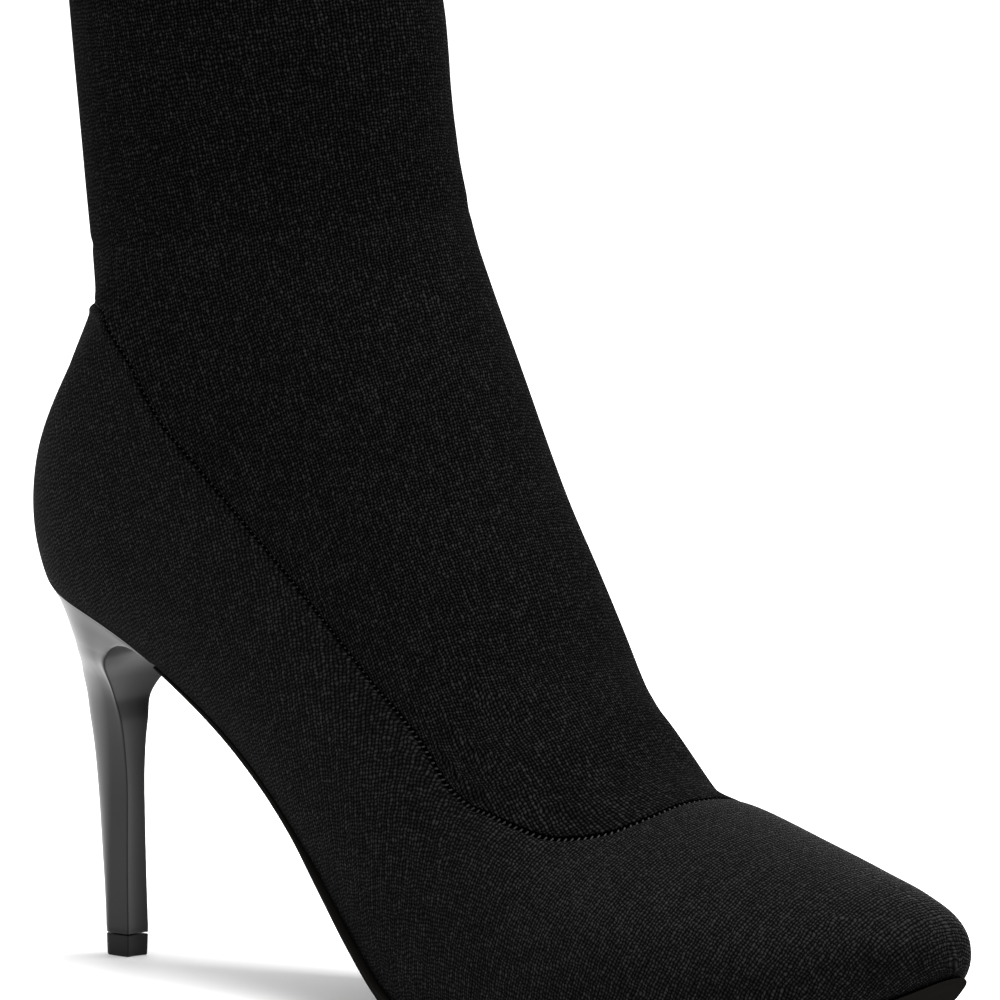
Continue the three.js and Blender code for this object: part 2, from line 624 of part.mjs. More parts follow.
// The heel: a stem of D section that flares into the seat, its front face hollow under the breast
function makeHeel(foot) {
  const seats = { [OUTER]: seatSide(foot, OUTER), [INNER]: seatSide(foot, INNER) };
  const top = (x) => soleLine(x) - FIT_GAP;
  const bottom = LIFT_HEIGHT + FIT_GAP;
  const sidePoint = (ring, share, side) => {
    const stem = stemSide(share, side);
    const seat = seats[side](share);
    const x = lerp(stem.x, seat.x, lerp(ring.front, ring.back, share ** HEEL_TURN));
    const y = lerp(stem.y, seat.y, ring.wide);
    const level = lerp(bottom, top(0), ring.level);
    return new THREE.Vector3(x, y, lerp(level, top(x), ring.follow));
  };
  const rings = HEEL_RINGS.map((ring) => {
    const points = [];
    for (let i = 0; i < HEEL_SIDE_STEPS; i += 1) {
      points.push(sidePoint(ring, i / HEEL_SIDE_STEPS, OUTER));
    }
    for (let i = HEEL_SIDE_STEPS; i > 0; i -= 1) {
      points.push(sidePoint(ring, i / HEEL_SIDE_STEPS, INNER));
    }
    const [far, near] = [sidePoint(ring, 0, INNER), sidePoint(ring, 0, OUTER)];
    for (let i = 0; i < HEEL_FRONT_STEPS; i += 1) {
      const share = i / HEEL_FRONT_STEPS;
      const point = far.clone().lerp(near, share);
      point.x -= BREAST_HOLLOW * (1 - ring.follow) * Math.abs(far.y - near.y) * Math.sin(Math.PI * share);
      points.push(point);
    }
    return points;
  });
  // The seat's top closes in smaller copies of its outline that lie on the sole line
  const seat = rings[rings.length - 1];
  const middle = new THREE.Vector3(BREAST_LINE / 2, 0, 0);
  for (const share of SEAT_FAN) {
    rings.push(seat.map((point) => {
      const inner = middle.clone().lerp(point, share);
      inner.z = top(inner.x);
      return inner;
    }));
  }
  return { geometry: stackSolid(rings), section: rings[0] };
}

// The top lift under the stem, a little smaller where it meets the floor
function makeLift(section) {
  const middle = section.reduce((sum, p) => sum.add(p), new THREE.Vector3()).divideScalar(section.length);
  const layer = (height, scale) => section.map((point) => {
    const moved = middle.clone().lerp(point, scale);
    moved.z = height;
    return moved;
  });
  return stackSolid([layer(0, LIFT_TAPER), layer(LIFT_HEIGHT, 1)]);
}

// Moves the boot so that the middle of its box stands over the origin, on the floor
function standOnOrigin(group) {
  const box = new THREE.Box3().setFromObject(group);
  const middle = box.getCenter(new THREE.Vector3());
  group.position.set(-middle.x, -middle.y, -box.min.z);
  group.updateMatrixWorld(true);
}

function build() {
  const group = new THREE.Group();
  const add = (name, geometry, color, roughness) => {
    const mesh = new THREE.Mesh(geometry, new THREE.MeshStandardMaterial({ color, roughness, metalness: 0 }));
    mesh.name = name;
    group.add(mesh);
  };
  const upper = makeUpper();
  const heel = makeHeel(upper.foot);
  add('upper', upper.geometry, 0x17171a, 0.9);
  add('shaft', makeShaft(), 0x121215, 0.92);
  add('outsole', makeOutsole(upper.foot), 0x101010, 0.5);
  add('insole', makeInsole(upper.inner), 0x1c1c1e, 0.8);
  add('heel', heel.geometry, 0x1a1a1c, 0.15);
  add('heel_tip', makeLift(heel.section), 0x0c0c0c, 0.55);
  standOnOrigin(group);
  return group;
}

export default build();
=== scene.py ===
"""Knit sock boot on a slim lacquered stiletto heel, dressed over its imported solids.

The boot's own frame, in millimetres, has x from the back of the heel seat to the toe, y to the inner side
of the foot and z up from the floor. Every formula works in it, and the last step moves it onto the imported
solids and turns it into metres.
"""

import logging
from dataclasses import dataclass, field
from enum import Enum
from functools import reduce

import bpy
import numpy as np
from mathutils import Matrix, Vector

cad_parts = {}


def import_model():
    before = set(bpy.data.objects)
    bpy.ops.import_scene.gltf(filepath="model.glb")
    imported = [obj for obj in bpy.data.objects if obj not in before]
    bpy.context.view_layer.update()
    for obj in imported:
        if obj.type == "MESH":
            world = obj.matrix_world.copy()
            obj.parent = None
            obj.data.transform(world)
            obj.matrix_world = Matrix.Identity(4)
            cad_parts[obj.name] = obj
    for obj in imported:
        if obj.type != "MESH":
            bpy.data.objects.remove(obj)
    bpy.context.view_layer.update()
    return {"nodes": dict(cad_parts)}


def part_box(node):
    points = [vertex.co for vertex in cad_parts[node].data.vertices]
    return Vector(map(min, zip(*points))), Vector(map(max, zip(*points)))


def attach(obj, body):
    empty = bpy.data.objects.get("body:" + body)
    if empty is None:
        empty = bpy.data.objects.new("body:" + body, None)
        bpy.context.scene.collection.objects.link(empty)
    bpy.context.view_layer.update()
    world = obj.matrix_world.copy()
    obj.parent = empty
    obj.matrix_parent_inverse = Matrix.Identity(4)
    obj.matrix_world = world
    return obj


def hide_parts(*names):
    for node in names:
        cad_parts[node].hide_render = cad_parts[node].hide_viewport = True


LOG = logging.getLogger("boot")
METRES = 0.001
OUTER = -1.0
INNER = 1.0
TINY = 1e-9
Socket = bpy.types.NodeSocket


class Slot(Enum):
    """Material slots."""

    UPPER = "upper_knit"
    SHAFT = "shaft_knit"
    OUTSOLE = "outsole"
    INSOLE = "insole"
    HEEL = "heel_lacquer"
    TIP = "heel_tip"


def mix(low: np.ndarray, high: np.ndarray, share: np.ndarray) -> np.ndarray:
    """Straight blend from low to high: low plus share times their difference."""
    return low + (high - low) * share


def ramp(value: np.ndarray, start: float, end: float) -> np.ndarray:
    """Smooth step: t squared times three less twice t, for t from 0 at start to 1 at end."""
    share = np.clip((value - start) / (end - start), 0.0, 1.0)
    return share * share * (3.0 - 2.0 * share)


@dataclass(frozen=True)
class Curve:
    """Smooth curve through table rows that never overshoots them."""

    places: np.ndarray
    values: np.ndarray
    slopes: np.ndarray

    @staticmethod
    def through(places: list[float], values: list[float], scale: float = 1.0) -> "Curve":
        """Fits the curve with monotone cubic pieces.

        The slope at an inner row is the weighted harmonic mean of the chords beside it, or 0 where they
        turn back.

        Args:
            places: the rows' places, rising.
            values: the rows' values.
            scale: factor on the values.

        Returns:
            The curve.
        """
        x = np.asarray(places, float)
        y = np.asarray(values, float) * scale
        step = np.diff(x)
        chord = np.diff(y) / step
        before = 2.0 * step[1:] + step[:-1]
        after = step[1:] + 2.0 * step[:-1]
        same = chord[:-1] * chord[1:] > 0.0
        safe_low = np.where(same, chord[:-1], 1.0)
        safe_high = np.where(same, chord[1:], 1.0)
        inner = np.where(same, (before + after) / (before / safe_low + after / safe_high), 0.0)
        return Curve(x, y, np.concatenate([chord[:1], inner, chord[-1:]]))

    def at(self, place: np.ndarray) -> np.ndarray:
        """Values at places, held at the two ends.

        Each piece is the cubic with the two rows' values and slopes.

        Args:
            place: places to read.

        Returns:
            The values.
        """
        x = np.clip(place, self.places[0], self.places[-1])
        i = np.clip(np.searchsorted(self.places, x) - 1, 0, len(self.places) - 2)
        step = self.places[i + 1] - self.places[i]
        t = (x - self.places[i]) / step
        keep = 2.0 * t**3 - 3.0 * t**2 + 1.0
        bend = self.slopes[i] * (t**3 - 2.0 * t**2 + t) + self.slopes[i + 1] * (t**3 - t**2)
        return self.values[i] * keep + self.values[i + 1] * (1.0 - keep) + step * bend


# Top of the sole: along the foot, share of the heel rise, share of the toe spring
SOLE_LINE = np.array([
    [0.000, 0.972, 0.000], [0.024, 0.967, 0.000], [0.079, 0.936, 0.000], [0.142, 0.874, 0.000],
    [0.206, 0.787, 0.000], [0.269, 0.683, 0.000], [0.332, 0.548, 0.000], [0.395, 0.373, 0.000],
    [0.451, 0.200, 0.000], [0.504, 0.058, 0.000], [0.545, 0.010, 0.000], [0.585, 0.000, 0.000],
    [0.675, 0.000, 0.000], [0.743, 0.000, 0.058], [0.814, 0.000, 0.163], [0.874, 0.000, 0.298],
    [0.933, 0.000, 0.522], [0.972, 0.000, 0.781], [1.000, 0.000, 1.000],
])

# Sections from toe to collar: lowX, lowH, topX, topH, outer, inner, wide, shift, crown, belly
SECTIONS = np.array([
    [0.993, 0.010, 0.993, 0.022, 0.006, 0.006, 0.45, 0.047, 2.0, 2.2],
    [0.983, -0.006, 0.977, 0.084, 0.103, 0.100, 0.52, 0.046, 2.1, 2.3],
    [0.937, -0.024, 0.928, 0.157, 0.228, 0.216, 0.44, 0.041, 2.1, 2.4],
    [0.870, -0.054, 0.862, 0.214, 0.357, 0.337, 0.38, 0.035, 2.1, 2.5],
    [0.799, -0.087, 0.795, 0.262, 0.442, 0.410, 0.36, 0.026, 2.1, 2.5],
    [0.727, -0.113, 0.733, 0.303, 0.490, 0.462, 0.36, 0.013, 2.1, 2.5],
    [0.644, -0.132, 0.666, 0.341, 0.510, 0.487, 0.35, 0.006, 2.0, 2.5],
    [0.552, -0.140, 0.613, 0.434, 0.504, 0.481, 0.35, 0.006, 2.0, 2.4],
    [0.451, -0.164, 0.563, 0.474, 0.472, 0.455, 0.36, 0.010, 2.0, 2.3],
    [0.348, -0.162, 0.511, 0.491, 0.423, 0.413, 0.38, 0.010, 2.0, 2.3],
    [0.236, -0.138, 0.471, 0.527, 0.395, 0.392, 0.40, 0.010, 2.0, 2.2],
    [0.126, -0.109, 0.435, 0.583, 0.392, 0.390, 0.43, 0.006, 2.0, 2.1],
    [0.040, -0.073, 0.420, 0.642, 0.394, 0.394, 0.46, 0.000, 2.0, 2.0],
    [0.000, 0.012, 0.412, 0.701, 0.394, 0.394, 0.48, 0.000, 2.0, 2.0],
    [-0.003, 0.120, 0.407, 0.757, 0.387, 0.387, 0.49, 0.000, 2.0, 2.0],
    [0.031, 0.230, 0.402, 0.805, 0.382, 0.382, 0.50, 0.000, 2.0, 2.0],
    [0.062, 0.329, 0.394, 0.868, 0.387, 0.387, 0.50, 0.000, 2.0, 2.0],
    [0.073, 0.404, 0.384, 0.923, 0.397, 0.397, 0.50, 0.000, 2.0, 2.0],
    [0.066, 0.555, 0.375, 0.980, 0.410, 0.410, 0.50, 0.000, 2.0, 2.0],
    [0.054, 0.756, 0.363, 1.051, 0.423, 0.423, 0.50, 0.000, 2.0, 2.0],
    [0.039, 1.018, 0.348, 1.133, 0.433, 0.433, 0.50, 0.000, 2.0, 2.0],
])

# Seam between upper and shaft: run, section, angle, share of the sole edge, angle at the collar
SEAM_LINE = np.array([
    [0.000, 0.259, 90.0, 0.000, 90.0], [0.051, 0.261, 73.0, 0.049, 78.0],
    [0.088, 0.270, 61.0, 0.090, 68.0], [0.135, 0.296, 50.0, 0.143, 57.0],
    [0.190, 0.330, 41.0, 0.213, 46.0], [0.241, 0.362, 35.5, 0.285, 37.0],
    [0.317, 0.400, 30.0, 0.383, 26.0], [0.402, 0.438, 21.5, 0.482, 15.0],
    [0.499, 0.480, 14.0, 0.571, 4.0], [0.605, 0.527, 8.5, 0.653, -8.0],
    [0.701, 0.580, 4.0, 0.735, -20.0], [0.775, 0.642, -0.5, 0.800, -32.0],
    [0.840, 0.728, -16.0, 0.860, -46.0], [0.896, 0.809, -46.0, 0.915, -62.0],
    [0.950, 0.846, -68.0, 0.958, -76.0], [1.000, 0.860, -90.0, 1.000, -90.0],
])

# Outsole's edge: along the foot, share of the sole margin, growth of the thickness, share of the edge cut
SOLE_EDGE = np.array([
    [0.186, 0.00, 0.00, 1.0], [0.320, 0.25, 0.80, 1.0], [0.365, 0.50, 0.90, 1.0],
    [0.411, 1.30, 0.96, 1.0], [0.466, 1.60, 1.00, 1.0], [0.520, 1.40, 1.00, 1.0],
    [0.600, 1.00, 1.00, 1.0], [0.900, 1.00, 1.00, 2.5], [0.960, 1.05, 0.70, 6.5],
    [1.000, 1.10, -0.10, 6.0],
])

# Heel rings from lift to seat: level, growth in width, at the front, at the back, share on the slope
HEEL_RINGS = np.array([
    [0.00, 0.01, 0.015, -0.05, 0.00], [0.205, 0.00, 0.00, 0.16, 0.00], [0.407, -0.01, -0.007, 0.31, 0.00],
    [0.527, 0.015, -0.015, 0.42, 0.00], [0.608, 0.06, -0.02, 0.53, 0.00], [0.668, 0.12, -0.04, 0.61, 0.02],
    [0.712, 0.28, 0.00, 0.70, 0.10], [0.738, 0.51, 0.11, 0.69, 0.25], [0.746, 0.64, 0.23, 0.66, 0.42],
    [0.746, 0.75, 0.37, 0.67, 0.60], [0.742, 0.85, 0.54, 0.75, 0.78], [0.742, 0.94, 0.75, 0.87, 0.92],
    [0.742, 1.00, 1.00, 1.00, 1.00],
])

# Layers of the top lift from the floor: height, share of the size of the heel foot's edge
LIFT_LAYERS = ((0.0, 0.90), (0.12, 0.945), (0.35, 0.96), (2.4, 0.985), (4.2, 1.0), (4.4, 0.975))


@dataclass
class BootForm:
    """The foot and leg form, with the named sizes it is worked out from."""

    foot_length: float = 253.0
    ball_width: float = 78.0
    heel_rise: float = 77.0
    toe_spring: float = 17.8
    shaft_height: float = 150.0
    sole_thickness: float = 2.0
    fit_gap: float = 0.3
    seam_gap: float = 0.6
    side_gap_share: float = 0.3
    side_gap_run: tuple[float, float] = (0.28, 0.42)
    seam_dip: float = 0.4
    seam_reach: float = 6.0
    edge_dip: float = 0.45
    edge_reach: float = 0.4
    column_crowding: float = 0.07
    toe_search: tuple[float, float] = (0.2, 0.0)
    seat_search: tuple[float, float] = (0.58, 0.75)
    section_halvings: int = 40
    angle_halvings: int = 34
    shift: Vector = field(default_factory=Vector)

    def __post_init__(self) -> None:
        """Fits the curves and finds the two ends of the sole edge."""
        self.rise = Curve.through(SOLE_LINE[:, 0], SOLE_LINE[:, 1], self.heel_rise)
        self.spring = Curve.through(SOLE_LINE[:, 0], SOLE_LINE[:, 2], self.toe_spring)
        run = SEAM_LINE[:, 0]
        self.seam_section = Curve.through(run, SEAM_LINE[:, 1])
        self.seam_angle = Curve.through(run, SEAM_LINE[:, 2], np.pi / 180.0)
        self.seam_edge = Curve.through(run, SEAM_LINE[:, 3])
        self.seam_collar = Curve.through(run, SEAM_LINE[:, 4], np.pi / 180.0)
        self.toe_section = self._crossing(*self.toe_search)
        self.seat_section = self._crossing(*self.seat_search)

    def sole_line(self, x: np.ndarray) -> np.ndarray:
        """Height of the sole's top: rise plus spring at x over the foot length, plus sole and gap."""
        along = np.asarray(x) / self.foot_length
        return self.rise.at(along) + self.spring.at(along) + self.sole_thickness + self.fit_gap

    def body(self, s: np.ndarray, angle: np.ndarray, side: np.ndarray) -> np.ndarray:
        """Points of the form.

        The section's row is a Catmull-Rom blend of the table. In it a point goes up with the sine of the
        angle raised to 2 over the roundness, and out with its cosine raised the same way.

        Args:
            s: section, 0 at the toe and 1 at the collar.
            angle: radians round the section, from -90 degrees at its low end to 90 at its top.
            side: OUTER or INNER.

        Returns:
            Points in millimetres, with x, y, z last.
        """
        s, angle, side = np.broadcast_arrays(s, angle, side)
        last = len(SECTIONS) - 1
        place = np.clip(s, 0.0, 1.0) * last
        i = np.minimum(place.astype(int), last - 1)
        t = (place - i)[..., None]
        table = np.vstack([2.0 * SECTIONS[0] - SECTIONS[1], SECTIONS, 2.0 * SECTIONS[-1] - SECTIONS[-2]])
        a, b, c, d = (table[i + k] for k in range(4))
        row = 0.5 * (
            2.0 * b + (c - a) * t + (2.0 * a - 5.0 * b + 4.0 * c - d) * t**2
            + (3.0 * b - a - 3.0 * c + d) * t**3
        )
        low_x, low_h, top_x, top_h, outer, inner, wide, shift, crown, belly = np.moveaxis(row, -1, 0)
        up = np.sin(angle)
        roundness = 2.0 / np.where(up >= 0.0, crown, belly)
        reach = np.sign(up) * np.abs(up) ** roundness
        across = np.maximum(np.cos(angle), 0.0) ** roundness
        depth = wide + np.where(up >= 0.0, 1.0 - wide, wide) * reach
        half = np.where(side < 0.0, outer, inner)
        return np.stack([
            mix(low_x, top_x, depth) * self.foot_length,
            (shift + side * half * across) * self.ball_width,
            self.sole_line(low_x * self.foot_length) + mix(low_h, top_h, depth) * self.shaft_height,
        ], axis=-1)

    def over_sole(self, points: np.ndarray) -> np.ndarray:
        """Height of points over the sole line at their x."""
        return points[..., 2] - self.sole_line(points[..., 0])

    def edge_angle(self, s: np.ndarray, side: np.ndarray) -> np.ndarray:
        """Angle at which a section meets the sole line, by halving the range."""
        s, side = np.broadcast_arrays(s, side)
        low = np.full(s.shape, -np.pi / 2.0)
        high = np.full(s.shape, np.pi / 2.0)
        closed = self.over_sole(self.body(s, low, side)) >= 0.0
        for _ in range(self.angle_halvings):
            middle = (low + high) / 2.0
            under = self.over_sole(self.body(s, middle, side)) < 0.0
            low = np.where(under, middle, low)
            high = np.where(under, high, middle)
        return np.where(closed, -np.pi / 2.0, high)

    def _crossing(self, inside: float, outside: float) -> float:
        """Section where the low line crosses the sole line, by halving the range."""
        for _ in range(self.section_halvings):
            middle = (inside + outside) / 2.0
            if self.over_sole(self.body(middle, -np.pi / 2.0, OUTER)) < 0.0:
                inside = middle
            else:
                outside = middle
        return outside

    def upper_points(self, run: np.ndarray, share: np.ndarray, side: np.ndarray) -> np.ndarray:
        """Points of the upper.

        The form is laid out as a disc round the toe, the section as the radius and 90 degrees less the
        angle as the direction, and the point lies on the straight line from the seam to the sole edge.

        Args:
            run: share of the seam's run from throat to back.
            share: share of the way from the seam to the sole edge.
            side: OUTER or INNER.

        Returns:
            Points in millimetres.
        """
        section, turn = self.seam_section.at(run), np.pi / 2.0 - self.seam_angle.at(run)
        edge = mix(self.toe_section, self.seat_section, self.seam_edge.at(run))
        edge_turn = np.pi / 2.0 - self.edge_angle(edge, side)
        u = mix(section * np.cos(turn), edge * np.cos(edge_turn), share)
        v = mix(section * np.sin(turn), edge * np.sin(edge_turn), share)
        return self.body(np.hypot(u, v), np.pi / 2.0 - np.arctan2(np.abs(v), u), side)

    def shaft_points(self, run: np.ndarray, share: np.ndarray, side: np.ndarray) -> np.ndarray:
        """Points of the shaft from the seam to the collar: the section runs straight, the angle squared."""
        angle = mix(self.seam_angle.at(run), self.seam_collar.at(run), share**2)
        return self.body(mix(self.seam_section.at(run), 1.0, share), angle, side)

    def opening(self, run: np.ndarray) -> np.ndarray:
        """Half the seam's gap: full at the throat, and only a share of it along the sides and the back."""
        return self.seam_gap / 2.0 * mix(1.0, self.side_gap_share, ramp(run, *self.side_gap_run))

    def seam_sink(self, distance: np.ndarray) -> np.ndarray:
        """Depth beside the seam: a wide dip and an edge, each times e to minus distance over its reach."""
        dip = self.seam_dip * np.exp(-distance / self.seam_reach)
        return dip + self.edge_dip * np.exp(-distance / self.edge_reach)

    def columns(self, count: int) -> tuple[np.ndarray, np.ndarray]:
        """Runs and sides of the columns round the boot, from the back round the toe and back again."""
        k = np.arange(2 * count + 1)
        side = np.where(k <= count, OUTER, INNER)
        step = np.abs(count - k) / count
        return step - self.column_crowding * np.sin(2.0 * np.pi * step), side

    def to_frame(self, points: np.ndarray) -> np.ndarray:
        """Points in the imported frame: the shift plus the millimetres times a thousandth."""
        return points * METRES + np.array(self.shift)


def unit(vectors: np.ndarray) -> np.ndarray:
    """Vectors divided by their lengths."""
    return vectors / np.linalg.norm(vectors, axis=-1, keepdims=True)


def line_length(line: np.ndarray) -> np.ndarray:
    """Way along a line up to each of its points: the running sum of the steps' lengths."""
    return np.concatenate([[0.0], np.cumsum(np.linalg.norm(np.diff(line, axis=0), axis=1))])


def read_line(at: np.ndarray, way: np.ndarray, line: np.ndarray) -> np.ndarray:
    """Values of a line at ways along it, straight between its points."""
    return np.stack([np.interp(at, way, values) for values in line.T], axis=-1)


def grid_normals(rows: np.ndarray, back_row: int) -> np.ndarray:
    """Unit normals of a grid whose last column repeats its first.

    Each is the cross product of the difference along the row and the difference between the rows. All
    are turned over together where the one at the back of the boot points forwards.

    Args:
        rows: points as rows, columns, xyz.
        back_row: the row whose first normal decides.

    Returns:
        Outward normals of the same shape.
    """
    ring = rows[:, :-1]
    along = np.roll(ring, -1, 1) - np.roll(ring, 1, 1)
    normals = unit(np.cross(along, np.gradient(ring, axis=0)))
    normals *= -np.sign(normals[back_row, 0, 0])
    return np.concatenate([normals, normals[:, :1]], axis=1)


def travelled(rows: np.ndarray) -> np.ndarray:
    """Distance down each column from the first row: the running sum of the steps' lengths."""
    steps = np.linalg.norm(np.diff(rows, axis=0), axis=-1)
    return np.concatenate([np.zeros_like(steps[:1]), np.cumsum(steps, axis=0)])


def open_seam(rows: np.ndarray, normals: np.ndarray, reach: np.ndarray, least: float = 0.2,
              reaches: float = 5.0) -> tuple[np.ndarray, np.ndarray, np.ndarray]:
    """Moves the rows away from the seam, square to it, and measures the skin beside it.

    Away is the normal times the seam's direction. The way moved is the reach times e to minus the
    distance over a few reaches, so no row passes another.

    Args:
        rows: points as rows, columns, xyz, with the last column repeating the first.
        normals: their normals.
        reach: how far the first row moves, for each column.
        least: smallest distance from the seam, as a share of the way down the column.
        reaches: number of reaches over which the move fades.

    Returns:
        The moved rows, their distance from the seam, and their place along it from the back.
    """
    ring = rows[0, :-1]
    seam = unit(np.roll(ring, -1, 0) - np.roll(ring, 1, 0))
    seam = np.concatenate([seam, seam[:1]])
    away = np.cross(normals[0], seam)
    away *= np.sign(np.sum(away * (rows[1] - rows[0])))
    beside = rows - rows[:1]
    distance = np.maximum(np.sum(beside * away, axis=-1), least * travelled(rows))
    way = line_length(rows[0])
    turned = np.where(way < way[-1] / 2.0, 1.0, -1.0)
    place = np.minimum(way, way[-1] - way) + turned * np.sum(beside * seam, axis=-1)
    fade = reach * np.exp(-distance / (reaches * reach))
    return rows + away * fade[..., None], distance, place


def flat_pattern(rows: np.ndarray) -> np.ndarray:
    """Lays a grid out flat, keeping its angles, as a knit is cut before it is lasted.

    Each triangle asks that the flat copy be a turned and scaled one: the sum over its corners of the
    opposite edge times the flat place, as complex numbers, is 0. Two corners are held and the rest solved
    by least squares, then the whole is scaled to the true area.

    Args:
        rows: points as rows, columns, xyz.

    Returns:
        Flat places as rows, columns, uv, in millimetres.
    """
    height, width = rows.shape[:2]
    index = np.arange(height * width).reshape(height, width)
    a, b, c, d = index[:-1, :-1], index[:-1, 1:], index[1:, 1:], index[1:, :-1]
    first = np.stack([a, b, c], axis=-1).reshape(-1, 3)
    second = np.stack([a, c, d], axis=-1).reshape(-1, 3)
    faces = np.concatenate([first, second])
    p = rows.reshape(-1, 3)[faces]
    e1, e2 = p[:, 1] - p[:, 0], p[:, 2] - p[:, 0]
    x_axis = e1 / np.maximum(np.linalg.norm(e1, axis=1, keepdims=True), TINY)
    normal = np.cross(e1, e2)
    area2 = np.maximum(np.linalg.norm(normal, axis=1), TINY)
    y_axis = np.cross(normal / area2[:, None], x_axis)
    flat = np.zeros((len(faces), 3), complex)
    flat[:, 1] = np.sum(e1 * x_axis, axis=1)
    flat[:, 2] = np.sum(e2 * x_axis, axis=1) + 1j * np.sum(e2 * y_axis, axis=1)
    weights = (np.roll(flat, -2, 1) - np.roll(flat, -1, 1)) / np.sqrt(area2)[:, None]
    matrix = np.zeros((len(faces), height * width), complex)
    matrix[np.arange(len(faces))[:, None], faces] = weights
    middle = width // 2
    held = np.array([index[0, middle], index[-1, middle]])
    held_at = np.array([0.0, 1j * np.linalg.norm(rows[0, middle] - rows[-1, middle])])
    free = np.setdiff1d(np.arange(height * width), held)
    solve = matrix[:, free]
    right = -matrix[:, held] @ held_at
    places = np.zeros(height * width, complex)
    places[held] = held_at
    places[free] = np.linalg.solve(solve.conj().T @ solve, solve.conj().T @ right)
    corners = places[faces]
    one, two = corners[:, 1] - corners[:, 0], corners[:, 2] - corners[:, 0]
    flat_area = np.sum(np.abs((np.conj(one) * two).imag))
    places *= np.sqrt(np.sum(area2) / flat_area)
    return np.stack([places.real, places.imag], axis=-1).reshape(height, width, 2)


def turned_pattern(flat: np.ndarray, turn: np.ndarray) -> np.ndarray:
    """Turns a flat pattern by an angle that changes from point to point.

    Finds by least squares the points whose steps to their neighbours are the pattern's steps, each
    turned by the mean of the angles at its two ends.

    Args:
        flat: the pattern as rows, columns, xy.
        turn: angles in radians as rows, columns.

    Returns:
        The turned pattern.
    """
    index = np.arange(turn.size).reshape(turn.shape)
    first = np.concatenate([index[:-1].ravel(), index[:, :-1].ravel()])
    second = np.concatenate([index[1:].ravel(), index[:, 1:].ravel()])
    points = flat.reshape(-1, 2)
    step = points[second] - points[first]
    angle = (turn.ravel()[first] + turn.ravel()[second]) / 2.0
    cosine, sine = np.cos(angle), np.sin(angle)
    wanted = np.stack([cosine * step[:, 0] - sine * step[:, 1], sine * step[:, 0] + cosine * step[:, 1]], -1)
    joins = np.zeros((len(first), turn.size))
    at = np.arange(len(first))
    joins[at, first] = -1.0
    joins[at, second] = 1.0
    return np.linalg.lstsq(joins, wanted, rcond=None)[0].reshape(flat.shape)


def spread(grid: np.ndarray, rows: int, columns: int) -> np.ndarray:
    """Reads a coarse grid at a finer one's places, straight along the rows and then along the columns."""
    height, width = grid.shape[:2]
    r = np.linspace(0.0, height - 1.0, rows)
    c = np.linspace(0.0, width - 1.0, columns)
    i, j = np.minimum(r.astype(int), height - 2), np.minimum(c.astype(int), width - 2)
    down = mix(grid[i], grid[i + 1], (r - i)[:, None, None])
    return mix(down[:, j], down[:, j + 1], (c - j)[None, :, None])


def link(obj: bpy.types.Object) -> bpy.types.Object:
    """Links an object to the scene and hands it back."""
    bpy.context.scene.collection.objects.link(obj)
    return obj


def mesh_object(name: str, points: np.ndarray, faces: list[list[int]]) -> bpy.types.Object:
    """Makes a smooth mesh object of points in metres and faces, linked to the scene."""
    mesh = bpy.data.meshes.new(name)
    mesh.from_pydata(points.tolist(), [], faces)
    mesh.polygons.foreach_set("use_smooth", np.ones(len(mesh.polygons), bool))
    return link(bpy.data.objects.new(name, mesh))


def ring_corners(rows: int, ring: int) -> tuple[np.ndarray, np.ndarray]:
    """Rows and columns of each quad's corners: (r, c), (r, c+1), (r+1, c+1) and (r+1, c)."""
    r, c = np.meshgrid(np.arange(rows), np.arange(ring), indexing="ij")
    return (np.stack([r, r, r + 1, r + 1], axis=-1).reshape(-1, 4),
            np.stack([c, c + 1, c + 1, c], axis=-1).reshape(-1, 4))


def end_fans(ring: int, last: int, low: int, high: int) -> np.ndarray:
    """Triangles that shut a tube at its two ends.

    Args:
        ring: points in a ring.
        last: index of the last ring's first point.
        low: index of the point in the middle of the first ring.
        high: index of the point in the middle of the last ring.

    Returns:
        The triangles' corners.
    """
    here, there = np.arange(ring), np.roll(np.arange(ring), -1)
    return np.concatenate([np.stack([np.full(ring, low), there, here], axis=-1),
                           np.stack([np.full(ring, high), last + here, last + there], axis=-1)])


